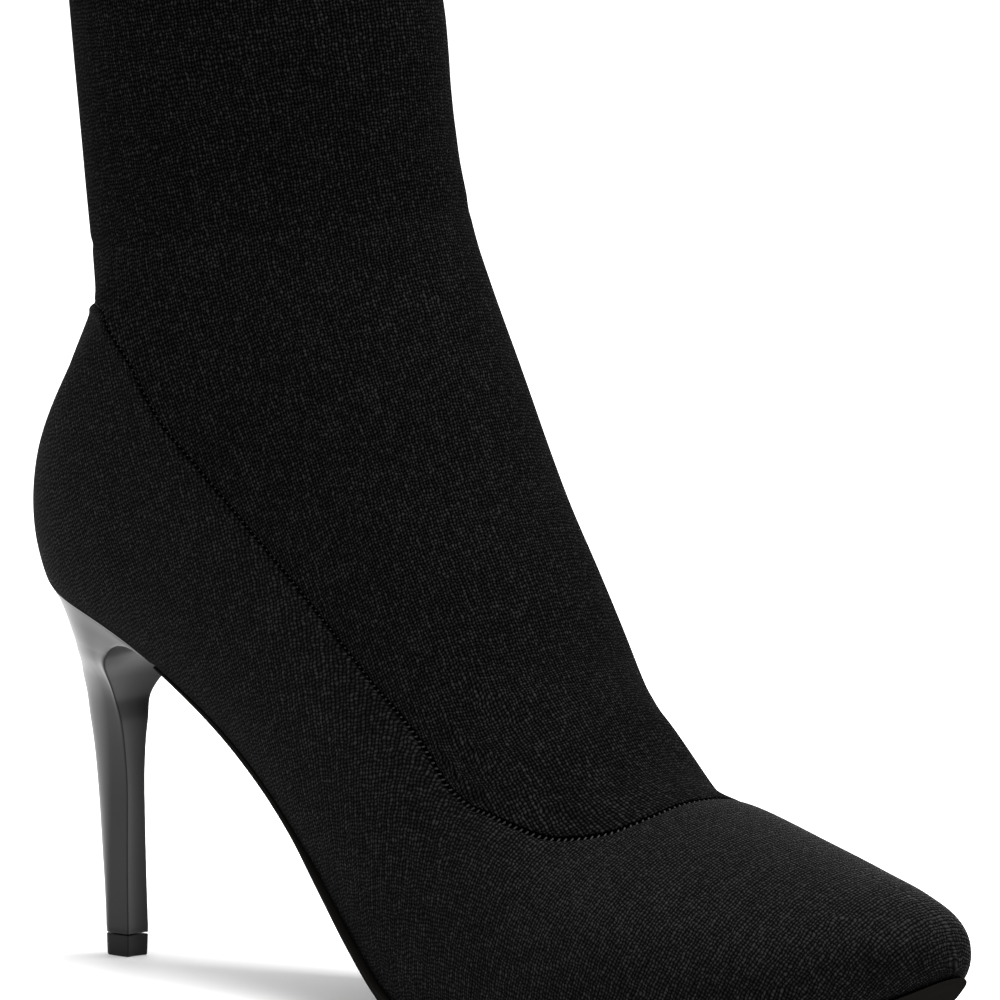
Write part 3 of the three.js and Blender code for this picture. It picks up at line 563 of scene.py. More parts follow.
@dataclass
class Skin:
    """A grid of points with its flat places and named values, ready to become a mesh."""

    name: str
    points: np.ndarray
    flat: np.ndarray | None = None
    values: dict[str, np.ndarray] = field(default_factory=dict)

    @staticmethod
    def wall(name: str, outside: np.ndarray, inside: np.ndarray, pick: np.ndarray, flat: np.ndarray,
             **values: np.ndarray) -> "Skin":
        """Skin of a wall, its outside followed by its inside.

        Args:
            name: the piece's name.
            outside: the outside's points.
            inside: the inside's points.
            pick: rows of the outside whose flat places and values the inside repeats.
            flat: the outside's flat places.
            values: the outside's named values.

        Returns:
            The skin, for a wall whose last row joins the first.
        """
        both = {label: np.concatenate([value, value[pick]]) for label, value in values.items()}
        return Skin(name, np.concatenate([outside, inside]), np.concatenate([flat, flat[pick]]), both)

    def build(self, form: BootForm, wrap_rows: bool) -> bpy.types.Object:
        """Makes the mesh of a grid whose last column repeats its first.

        Corner (r, c) joins (r, c+1), (r+1, c+1) and (r+1, c). Rows wrap round as a closed wall, or else
        each end is shut by a fan on its middle. Faces are turned over where the volume comes out negative.

        Args:
            form: the boot's form, for the frame.
            wrap_rows: whether the last row joins the first.

        Returns:
            The object, linked to the scene.
        """
        height, width = self.points.shape[:2]
        ring = width - 1
        corners_r, corners_c = ring_corners(height if wrap_rows else height - 1, ring)
        quads = (corners_r % height) * ring + corners_c % ring
        points = form.to_frame(self.points[:, :-1].reshape(-1, 3))
        ends = np.zeros((0, 3), int)
        if not wrap_rows:
            base = len(points)
            ends = end_fans(ring, base - ring, base, base + 1)
            points = np.concatenate([points, [points[:ring].mean(0), points[-ring:].mean(0)]])
        a, b, c, d = (points[quads[:, k]] for k in range(4))
        volume = np.sum(a * np.cross(b, c)) + np.sum(a * np.cross(c, d))
        volume += np.sum(points[ends[:, 0]] * np.cross(points[ends[:, 1]], points[ends[:, 2]]))
        if volume < 0.0:
            quads, ends, corners_r, corners_c = (
                corners[:, ::-1] for corners in (quads, ends, corners_r, corners_c)
            )
        obj = mesh_object(self.name, points, quads.tolist() + ends.tolist())
        mesh = obj.data
        if self.flat is not None:
            layer = mesh.uv_layers.new(name="flat")
            uv = np.zeros((len(mesh.loops), 2))
            uv[: corners_r.size] = self.flat[corners_r % height, corners_c].reshape(-1, 2) * METRES
            layer.data.foreach_set("uv", uv.ravel())
        for label, value in self.values.items():
            attribute = mesh.attributes.new(label, "FLOAT", "POINT")
            full = np.zeros(len(points))
            full[: height * ring] = value[:, :-1].ravel()
            attribute.data.foreach_set("value", full)
        mesh.update()
        return obj


class Nodes:
    """Short hand for building one material's nodes."""

    def __init__(self, name: str) -> None:
        """Starts a material with one Principled shader."""
        self.material = bpy.data.materials.new(name)
        self.material.use_nodes = True
        self.tree = self.material.node_tree
        self.shader = self.tree.nodes["Principled BSDF"]

    def add(self, kind: str, **settings: object) -> bpy.types.Node:
        """Adds a node and sets its properties."""
        node = self.tree.nodes.new(kind)
        for key, value in settings.items():
            setattr(node, key, value)
        return node

    def join(self, source: Socket, target: Socket) -> None:
        """Links two sockets."""
        self.tree.links.new(source, target)

    def math(self, operation: str, *inputs: Socket | float) -> Socket:
        """Adds a Math node.

        Args:
            operation: the operation's name.
            inputs: sockets or numbers, in order.

        Returns:
            The result's socket.
        """
        node = self.add("ShaderNodeMath", operation=operation)
        for i, value in enumerate(inputs):
            if isinstance(value, Socket):
                self.join(value, node.inputs[i])
            else:
                node.inputs[i].default_value = value
        return node.outputs[0]

    def line(self, value: Socket, slope: float, base: Socket | float) -> Socket:
        """Straight line: the slope times the value plus the base."""
        return self.math("MULTIPLY_ADD", value, slope, base)

    def product(self, *factors: Socket | float) -> Socket:
        """Product of sockets and numbers, worked out from the left."""
        return reduce(lambda before, factor: self.math("MULTIPLY", before, factor), factors)

    def read(self, kind: str, output: str, **settings: str) -> Socket:
        """Named output of a new node that has no inputs."""
        return self.add(kind, **settings).outputs[output]

    def noise(self, vector: Socket, scale: float, detail: float, output: int = 0,
              **settings: str) -> Socket:
        """Noise of a scale over a vector: its value, or as output 1 its colour."""
        node = self.add("ShaderNodeTexNoise", **settings)
        self.join(vector, node.inputs["Vector"])
        node.inputs["Scale"].default_value = scale
        node.inputs["Detail"].default_value = detail
        return node.outputs[output]

    def bump(self, height: Socket, depth: float, strength: float, below: Socket | None = None) -> Socket:
        """Bump of a depth in metres, over another bump where one is given."""
        node = self.add("ShaderNodeBump")
        node.inputs["Strength"].default_value = strength
        node.inputs["Distance"].default_value = depth
        self.join(height, node.inputs["Height"])
        if below is not None:
            self.join(below, node.inputs["Normal"])
        return node.outputs[0]

    def tint(self, factor: Socket, low: tuple[float, ...], high: tuple[float, ...]) -> Socket:
        """Colour between two by a factor."""
        node = self.add("ShaderNodeMix", data_type="RGBA")
        self.join(factor, node.inputs[0])
        node.inputs[6].default_value = (*low, 1.0)
        node.inputs[7].default_value = (*high, 1.0)
        return node.outputs[2]

    def feed(self, **sockets: Socket) -> None:
        """Links sockets to the shader's, with underscores for the spaces in their names."""
        for key, socket in sockets.items():
            self.join(socket, self.shader.inputs[key.replace("_", " ")])

    def set(self, **sockets: object) -> None:
        """Sets the shader's sockets, with underscores for the spaces in their names."""
        for key, value in sockets.items():
            self.shader.inputs[key.replace("_", " ")].default_value = value


@dataclass(frozen=True)
class Knit:
    """Fine black stretch knit: staggered wales of small stitches, with a toothed edge at the seam.
    The stitch crowns carry a painted sheen, and the toothed edge is painted shade in the seam's groove.

    Lengths of the pattern are in metres, those at the seam in millimetres. A pair that ends in share or
    teeth is the slope and base of a straight line.
    """

    name: str
    wale: float = 0.00070
    course: float = 0.00079
    stagger: float = 0.12
    second_drop: float = 0.22
    loop_swing: float = 0.34
    wander_scale: float = 480.0
    wander: tuple[float, float] = (1.3, 1.6)
    dark: float = 0.0002
    # colour of the stitch crowns at full tone: a painted sheen
    light: float = 0.0125
    blue: float = 1.04
    shine_power: float = 1.6
    chance_power: float = 3.0
    chance_share: tuple[float, float] = (1.3, 0.65)
    fuzz_scale: float = 4200.0
    fuzz_share: tuple[float, float] = (1.2, 0.4)
    fuzz_depth: float = 0.00006
    fuzz_strength: float = 0.4
    cloud_scale: float = 120.0
    cloud_share: tuple[float, float] = (0.5, 0.75)
    # share by which the painted sheen dims where the knit is pressed, and grows under the painted highlight
    # on top of the toe
    calm_dim: float = 0.35
    calm_flatten: float = 0.4
    depth: float = 0.00022
    depth_strength: float = 0.8
    # toothed edge at the seam, where the sheen is left out as painted shade in the groove
    seam_tooth: float = 1.4
    seam_base: float = 0.1
    seam_reach: float = 0.3
    seam_blur: tuple[float, float] = (-0.08, 0.12)
    uneven_scale: float = 700.0
    uneven_shift: float = 1.6
    uneven_teeth: tuple[float, float] = (2.0, 0.1)
    roughness: float = 0.5
    gap_roughness: float = 0.95
    specular: float = 0.004

    def stitches(self, n: Nodes) -> tuple[Socket, Socket]:
        """Height and random value of the stitches.

        The flat pattern wanders a little by noise. Across a wale the height is a half sine, along it a
        raised cosine, and every second wale is shifted by the stagger and lies a little lower.

        Args:
            n: the material's nodes.

        Returns:
            The height from 0 to 1 and a random value for each stitch.
        """
        uv = n.read("ShaderNodeTexCoord", "UV")
        flat, aside = n.add("ShaderNodeSeparateXYZ"), n.add("ShaderNodeSeparateColor")
        n.join(uv, flat.inputs[0])
        n.join(n.noise(uv, self.wander_scale, 3.0, 1, noise_dimensions="2D"), aside.inputs[0])
        x, y = (
            n.math("ADD", n.math("DIVIDE", flat.outputs[k], size), n.product(aside.outputs[k], wander))
            for k, (size, wander) in enumerate(zip((self.wale, self.course), self.wander))
        )
        column = n.math("FLOOR", x)
        second = n.product(n.math("FRACT", n.product(column, 0.5)), 2.0)
        y = n.line(second, self.stagger, y)
        pair = n.add("ShaderNodeCombineXYZ")
        n.join(column, pair.inputs[0])
        n.join(n.math("FLOOR", y), pair.inputs[1])
        chance = n.add("ShaderNodeTexWhiteNoise", noise_dimensions="2D")
        n.join(pair.outputs[0], chance.inputs["Vector"])
        across = n.math("SINE", n.product(n.math("FRACT", x), np.pi))
        wave = n.math("COSINE", n.product(y, 2.0 * np.pi))
        along = n.line(wave, -self.loop_swing, 1.0 - self.loop_swing)
        height = n.product(across, along, n.line(second, -self.second_drop, 1.0))
        return height, chance.outputs["Value"]

    def material(self) -> bpy.types.Material:
        """Builds the material.

        The colour is a painted sheen on the stitch crowns: a power of the height times a random share for
        each stitch, less where the knit is calmer and more under the painted highlight on top of the toe.
        Within a toothed edge at the seam, the base plus the reach times an uneven sine along it, the sheen
        is left out as painted shade in the seam's groove, and all is sunk.

        Returns:
            The material.
        """
        n = Nodes(self.name)
        height, chance = self.stitches(n)
        place = n.read("ShaderNodeTexCoord", "Object")
        from_seam, along_seam, calm = (
            n.read("ShaderNodeAttribute", "Fac", attribute_name=label)
            for label in ("from_seam", "along_seam", "calm")
        )
        uneven = n.noise(place, self.uneven_scale, 2.0)
        along_seam = n.line(uneven, self.uneven_shift, along_seam)
        tooth = n.math("ABSOLUTE", n.math("SINE", n.product(along_seam, np.pi / self.seam_tooth)))
        tooth = n.product(tooth, n.line(uneven, *self.uneven_teeth))
        # painted shade: within the toothed edge at the seam the stitch sheen is left out
        clear = n.add("ShaderNodeMapRange", interpolation_type="SMOOTHSTEP")
        n.join(n.math("SUBTRACT", from_seam, n.line(tooth, self.seam_reach, self.seam_base)),
               clear.inputs["Value"])
        clear.inputs["From Min"].default_value, clear.inputs["From Max"].default_value = self.seam_blur
        clear = clear.outputs["Result"]
        fuzz = n.noise(place, self.fuzz_scale, 2.0)
        share = n.product(
            n.line(n.math("POWER", chance, self.chance_power), *self.chance_share),
            n.line(fuzz, *self.fuzz_share),
            n.line(n.noise(place, self.cloud_scale, 3.0), *self.cloud_share),
            n.line(calm, -self.calm_dim, 1.0),
        )
        # painted sheen on the stitch crowns, left out as painted shade at the seam
        stitch_sheen = n.product(n.math("POWER", height, self.shine_power), share, clear)
        raised = n.product(height, n.line(calm, -self.calm_flatten, 1.0), clear)
        low = n.bump(raised, self.depth, self.depth_strength)
        n.feed(
            Base_Color=n.tint(stitch_sheen, (self.dark,) * 3, (self.light, self.light, self.light * self.blue)),
            Normal=n.bump(fuzz, self.fuzz_depth, self.fuzz_strength, low),
            Roughness=n.line(raised, self.roughness - self.gap_roughness, self.gap_roughness),
        )
        n.set(Specular_IOR_Level=self.specular)
        return n.material


@dataclass(frozen=True)
class PlainFinish:
    """A plain black finish with a fine grain: lacquer, edge paint, leather or rubber."""

    name: str
    colour: tuple[float, float, float]
    roughness: float
    specular: float
    wear: float = 0.1
    wear_scale: float = 140.0
    cloud_scale: float = 60.0
    cloud_gain: float = 1.5
    cloud_lift: float = 0.001
    grain_scale: float = 900.0
    grain_depth: float = 0.00002
    grain_strength: float = 0.3

    def material(self) -> bpy.types.Material:
        """Builds the material: noise breaks up roughness and colour, and a finer one is the grain."""
        n = Nodes(self.name)
        place = n.read("ShaderNodeTexCoord", "Object")
        brighter = tuple(min(1.0, c * self.cloud_gain + self.cloud_lift) for c in self.colour)
        worn = n.noise(place, self.wear_scale, 4.0)
        n.feed(
            Roughness=n.line(worn, self.wear, self.roughness - self.wear / 2.0),
            Base_Color=n.tint(n.noise(place, self.cloud_scale, 3.0), self.colour, brighter),
            Normal=n.bump(n.noise(place, self.grain_scale, 3.0), self.grain_depth, self.grain_strength),
        )
        n.set(Specular_IOR_Level=self.specular)
        return n.material


def dress(obj: bpy.types.Object, material: bpy.types.Material, slot: Slot, *nodes: str) -> None:
    """Gives a piece its material, body and the solids it stands for, and reports it."""
    obj.data.materials.clear()
    obj.data.materials.append(material)
    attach(obj, "root")
    if nodes:
        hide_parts(*nodes)
    LOG.info("%s: %d faces", obj.name, len(obj.data.polygons))


@dataclass
class KnitUpper:
    """The upper: vamp and quarters in one lasted knit wall."""

    form: BootForm
    wall: float = 1.8
    half_columns: int = 300
    rows: int = 76
    row_crowding: float = 0.55
    inner_rows: int = 16
    coarse_columns: int = 38
    coarse_rows: int = 12
    foot_dip: float = 0.25
    foot_reach: float = 0.7
    foot_lean: float = 0.5
    ridge: float = 0.35
    ridge_run: tuple[float, float] = (0.3, 0.42)
    ridge_at: float = 1.3
    ridge_width: float = 0.8
    toe_turn: float = 90.0
    quarter_turn: float = 46.0
    turn_zone: tuple[float, float] = (95.0, 175.0)
    pressed_band: tuple[float, float] = (1.0, 3.2)
    # painted highlight on top of the toe where it faces up: its strength, its zone along x and its facing
    # range
    toe_calm: float = -2.4
    toe_highlight_zone: tuple[float, float] = (120.0, 185.0)
    highlight_facing_up: tuple[float, float] = (0.05, 0.6)

    def surface(self, rows: int, half_columns: int) -> tuple[np.ndarray, np.ndarray, np.ndarray, np.ndarray]:
        """Outside of the wall.

        The form's points, moved inwards along the normal by the seam's dip and the turned-in edges
        beside the sole and the seam, and outwards by the low ridge that runs beside the seam at the sides
        and the back. The ridge is e to minus the square of the distance from its line over its width.

        Args:
            rows: rows from seam to sole.
            half_columns: columns on one side.

        Returns:
            Points, outward normals, distance from the seam and place along it.
        """
        form = self.form
        run, side = form.columns(half_columns)
        share = np.linspace(0.0, 1.0, rows)[:, None]
        share = mix(share, 0.5 - 0.5 * np.cos(np.pi * share), self.row_crowding)
        points = form.upper_points(run, share, side)
        normals = grid_normals(points, 0)
        points, distance, place = open_seam(points, normals, form.opening(run))
        way = travelled(points)
        sink = form.seam_sink(distance) + self.foot_dip * np.exp(-(way[-1] - way) / self.foot_reach)
        beside = np.exp(-(((distance - self.ridge_at) / self.ridge_width) ** 2))
        sink -= self.ridge * ramp(run, *self.ridge_run) * beside
        return points - normals * sink[..., None], normals, distance, place

    def pattern(self) -> np.ndarray:
        """Flat places: the flat pattern, turned from the quarters to the toe, and read at every point."""
        coarse = self.surface(self.coarse_rows, self.coarse_columns)[0]
        turn = np.radians(self.quarter_turn) * (1.0 - ramp(coarse[..., 0], *self.turn_zone))
        turn *= np.where(np.arange(turn.shape[1]) <= self.coarse_columns, 1.0, -1.0)
        turn += np.radians(self.toe_turn)
        return spread(turned_pattern(flat_pattern(coarse), turn), self.rows, 2 * self.half_columns + 1)

    def build(self, finish: Knit) -> tuple[bpy.types.Object, np.ndarray]:
        """Builds the wall.

        The inside lies a wall's thickness under the outside, and its lowest row stands level on the sole.
        The knit is calmer where it is pressed beside the sole, and livelier on top of the toe, where a
        painted highlight brightens the faces turned up.

        Args:
            finish: the knit.

        Returns:
            The object and the row of points along the sole edge.
        """
        outside, normals, distance, place = self.surface(self.rows, self.half_columns)
        pick = np.linspace(0, self.rows - 1, self.inner_rows).astype(int)[::-1]
        inside = outside[pick] - normals[pick] * self.wall
        foot = outside[-1]
        lean = np.linalg.norm(normals[-1, :, :2], axis=-1, keepdims=True)
        level = normals[-1, :, :2] / np.maximum(lean, TINY)
        inside[0, :, :2] = foot[:, :2] - level * self.wall / np.clip(lean, self.foot_lean, 1.0)
        inside[0, :, 2] = self.form.sole_line(inside[0, :, 0])
        way = travelled(outside)
        pressed = 1.0 - ramp(way[-1] - way, *self.pressed_band)
        # painted highlight: the top of the toe, where its faces turn up, is brightened
        toe_highlight_mask = ramp(outside[..., 0], *self.toe_highlight_zone) * ramp(normals[..., 2], *self.highlight_facing_up)
        calm = mix(pressed, self.toe_calm, toe_highlight_mask * (1.0 - pressed))
        skin = Skin.wall("knit_upper", outside, inside, pick, self.pattern(),
                         calm=calm, from_seam=distance, along_seam=place)
        skin.values["calm"][self.rows:] = 1.0
        obj = skin.build(self.form, True)
        dress(obj, finish.material(), Slot.UPPER, "upper")
        return obj, foot


# Soft folds of the shaft: middle x, y, z, direction x, y, z, half length, half width, height
FOLDS = np.array([
    [90.0, -19.0, 141.0, 0.70, 0.70, 0.10, 15.0, 5.0, 0.9],
    [80.0, -28.0, 131.0, 0.80, 0.55, 0.22, 16.0, 4.0, -0.4],
    [112.0, -26.0, 102.0, 0.75, 0.40, -0.50, 11.0, 5.0, 0.5],
    [105.0, -7.0, 158.5, 0.70, 0.70, 0.00, 1.8, 1.2, -0.5],
    [90.0, 19.0, 141.0, 0.70, -0.70, 0.10, 15.0, 5.0, 0.8],
    [112.0, 26.0, 100.0, 0.75, -0.40, -0.50, 11.0, 5.0, 0.4],
    [20.0, -10.0, 137.5, 0.70, -0.70, 0.00, 16.0, 5.0, -0.5],
    [20.0, 10.0, 137.5, 0.70, 0.70, 0.00, 16.0, 5.0, -0.5],
])


@dataclass
class KnitShaft:
    """The sock shaft with its rib cuff."""

    form: BootForm
    wall: float = 1.3
    half_columns: int = 280
    rows: int = 130
    row_crowding: float = 0.5
    inner_rows: int = 18
    coarse_columns: int = 38
    coarse_rows: int = 14
    cuff_low: float = 145.6
    cuff_slope: float = 0.151
    cuff_step: float = 0.8
    cuff_height: float = 0.12
    cuff_calm: float = 0.5
    groove_dip: float = 0.25
    groove_width: float = 1.1
    collar_dip: float = 0.5
    collar_reach: float = 0.5

    def surface(self, rows: int, half_columns: int) -> tuple[np.ndarray, np.ndarray, np.ndarray, np.ndarray]:
        """The form's points from seam to collar, with the rows crowded towards the seam.

        Args:
            rows: rows from seam to collar.
            half_columns: columns on one side.

        Returns:
            Points, distance from the seam, place along it and outward normals.
        """
        form = self.form
        run, side = form.columns(half_columns)
        share = np.linspace(0.0, 1.0, rows)[:, None]
        points = form.shaft_points(run, mix(share, share**2, self.row_crowding), side)
        normals = grid_normals(points, -1)
        return (*open_seam(points, normals, form.opening(run)), normals)

    def folds(self, points: np.ndarray) -> np.ndarray:
        """Height of the soft folds: each falls as e to minus the squares of its two distances."""
        height = np.zeros(points.shape[:2])
        for middle, direction, (length, width, top) in FOLDS.reshape(-1, 3, 3):
            away = points - middle
            along = np.sum(away * unit(direction), axis=-1)
            across = np.sum(away**2, axis=-1) - along**2
            height += top * np.exp(-((along / length) ** 2) - across / width**2)
        return height

    def build(self, finish: Knit) -> bpy.types.Object:
        """Builds the wall.

        The surface is raised by the folds and on the cuff, and sunk towards the seam, in the groove
        under the cuff and at the collar's rolled edge. The collar's edge fades with e to minus the
        distance over its reach, the groove with e to minus the square of the height over its width.

        Args:
            finish: the knit.

        Returns:
            The object.
        """
        form = self.form
        points, distance, place, normals = self.surface(self.rows, self.half_columns)
        height = points[..., 2] - self.cuff_low - self.cuff_slope * points[..., 0]
        cuff = ramp(height, -self.cuff_step, self.cuff_step)
        way = travelled(points)
        sink = form.seam_sink(distance) - self.cuff_height * cuff - self.folds(points)
        sink += self.groove_dip * np.exp(-(height / self.groove_width) ** 2)
        sink += self.collar_dip * np.exp(-(way[-1] - way) / self.collar_reach)
        outside = points - normals * sink[..., None]
        pick = np.linspace(0, self.rows - 1, self.inner_rows).astype(int)[::-1]
        inside = outside[pick] - normals[pick] * self.wall
        flat = spread(flat_pattern(self.surface(self.coarse_rows, self.coarse_columns)[0]),
                      self.rows, 2 * self.half_columns + 1)
        obj = Skin.wall("knit_shaft", outside, inside, pick, flat, calm=cuff * self.cuff_calm,
                        from_seam=distance, along_seam=place).build(form, True)
        dress(obj, finish.material(), Slot.SHAFT, "shaft")
        return obj


@dataclass
class SeamStitches:
    """The row of thread loops that pulls upper and shaft together."""

    form: BootForm
    pitch: float = 1.4
    length: float = 1.5
    radius: float = 0.22
    slant: float = 0.5
    sink: float = 0.95
    rings: int = 5
    sides: int = 8
    samples: int = 1500
    beside: float = 0.03

    def build(self, material: bpy.types.Material) -> bpy.types.Object:
        """Builds all the loops as one mesh.

        Each loop is an ellipsoid over two angles, stretched across the seam and turned a little along
        it. Its middle lies under the seam, at even steps of its length.

        Args:
            material: the thread.

        Returns:
            The object.
        """
        form = self.form
        run, side = form.columns(self.samples)
        edge = form.upper_points(run, np.array([[0.0], [self.beside]]), side)
        way = line_length(edge[0])
        count = int(way[-1] / self.pitch)
        at = (np.arange(count) + 0.5) * way[-1] / count
        lines = (edge[0], np.gradient(edge[0], axis=0), grid_normals(edge, 0)[0])
        middle, tangent, normal = (read_line(at, way, line) for line in lines)
        tangent, normal = unit(tangent), unit(normal)
        lean = unit(np.cross(normal, tangent) + tangent * self.slant)
        axes = np.stack([lean, np.cross(normal, lean), normal], axis=1)
        a = np.linspace(0.0, np.pi, self.rings + 2)[1:-1, None]
        b = np.linspace(0.0, 2.0 * np.pi, self.sides, endpoint=False)[None, :]
        wall = np.stack([np.cos(a) + 0.0 * b, np.sin(a) * np.cos(b), np.sin(a) * np.sin(b)], axis=-1)
        loop = np.concatenate([wall.reshape(-1, 3), [[1.0, 0.0, 0.0], [-1.0, 0.0, 0.0]]])
        loop = loop * np.array([self.length / 2.0, self.radius, self.radius])
        points = (middle - normal * self.sink)[:, None] + loop @ axes
        r, c = ring_corners(self.rings - 1, self.sides)
        quads = (r * self.sides + c % self.sides)[:, [0, 3, 2, 1]]
        low = self.rings * self.sides
        fans = end_fans(self.sides, low - self.sides, low, low + 1)[:, [0, 2, 1]]
        step = (np.arange(count) * len(loop))[:, None, None]
        faces = (quads + step).reshape(-1, 4).tolist() + (fans + step).reshape(-1, 3).tolist()
        obj = mesh_object("seam_stitches", form.to_frame(points.reshape(-1, 3)), faces)
        dress(obj, material, Slot.SHAFT)
        return obj


def outline_sides(foot: np.ndarray, margin: np.ndarray) -> tuple[np.ndarray, np.ndarray]:
    """The two sides of the upper's foot from above, moved outwards.

    The outward direction is the row's tangent turned by a right angle.

    Args:
        foot: closed row of points, from the back round the toe.
        margin: how far each point moves out.

    Returns:
        Outer side and inner side, each rising in x.
    """
    plan = foot[:, :2]
    tangent = np.gradient(plan, axis=0)
    tangent[0] = tangent[-1] = plan[1] - plan[-2]
    tangent = unit(tangent)
    out = np.stack([tangent[:, 1], -tangent[:, 0]], axis=-1)
    moved = plan + out * margin[:, None]
    half = len(plan) // 2
    return moved[: half + 1], moved[half:][::-1]


@dataclass
class Outsole:
    """The thin outsole from the heel's breast to the toe, with a painted edge."""

    form: BootForm
    margin: float = 1.2
    breast: float = 47.0
    breast_thickness: float = 0.9
    stations: int = 260
    tip_from: float = 0.8
    tip_left: float = 0.01
    corner_steps: int = 6
    edge_round: float = 0.35
    round_limits: tuple[float, float] = (4.0, 2.5)
    edge_cut: float = 0.4
    cut_limit: float = 0.35

    def places(self, start: float, end: float) -> np.ndarray:
        """Places of the sections from start to end, crowded twice towards the tip.

        Past the share where the tip begins, the rest of the way is first 1 less the square of what is
        left, and then the sine of a right angle's share.
        """
        share = np.linspace(0.0, 1.0, self.stations)
        rest = 1.0 - self.tip_from
        share = np.where(share < self.tip_from, share, 1.0 - (1.0 - share) ** 2 / rest)
        curved = self.tip_from + rest * np.sin((share - self.tip_from) / rest * np.pi / 2.0)
        return mix(start, end, np.where(share < self.tip_from, share, curved))

    def build(self, foot: np.ndarray, material: bpy.types.Material) -> bpy.types.Object:
        """Builds the sole as cross sections from the breast to the toe.

        Each section goes across the top and back across the bottom, with rounded corners. Its half
        widths are the upper's foot plus the margin, less the bevel at the bottom, and its height is the
        sole line less the gap.

        Args:
            foot: the upper's foot row.
            material: the sole's finish.

        Returns:
            The object.
        """
        form = self.form
        margin, grown, bevel = (
            Curve.through(SOLE_EDGE[:, 0], SOLE_EDGE[:, k], scale)
            for k, scale in ((1, self.margin), (2, 1.0), (3, self.edge_cut))
        )
        outer, inner = outline_sides(foot, margin.at(foot[:, 0] / form.foot_length))
        tip = min(outer[-1, 0], inner[-1, 0])
        x = self.places(self.breast + form.fit_gap, tip - self.tip_left)
        a, b = (np.interp(x, outline[:, 0], outline[:, 1]) for outline in (outer, inner))
        top = form.sole_line(x) - form.fit_gap
        deep = mix(self.breast_thickness, form.sole_thickness, grown.at(x / form.foot_length))
        turn = np.linspace(0.0, np.pi / 2.0, self.corner_steps)
        inset = np.minimum(bevel.at(x / form.foot_length), self.cut_limit * (b - a))
        limit = np.minimum((b - a) / self.round_limits[0], deep / self.round_limits[1])
        cut = np.minimum(self.edge_round, limit)[:, None]
        corners = []
        for across, side, height, sense, order in (
            (a, 1.0, top, -1.0, -1), (b, -1.0, top, -1.0, 1),
            (b - inset, -1.0, top - deep, 1.0, -1), (a + inset, 1.0, top - deep, 1.0, 1),
        ):
            y = across[:, None] + side * cut * (1.0 - np.sin(turn))[::order]
            z = height[:, None] + sense * cut * (1.0 - np.cos(turn))[::order]
            corners.append(np.stack([np.broadcast_to(x[:, None], y.shape), y, z], axis=-1))
        rings = np.concatenate([*corners, corners[0][:, :1]], axis=1)
        obj = Skin("outsole_edge", rings).build(form, False)
        dress(obj, material, Slot.OUTSOLE, "outsole")
        return obj


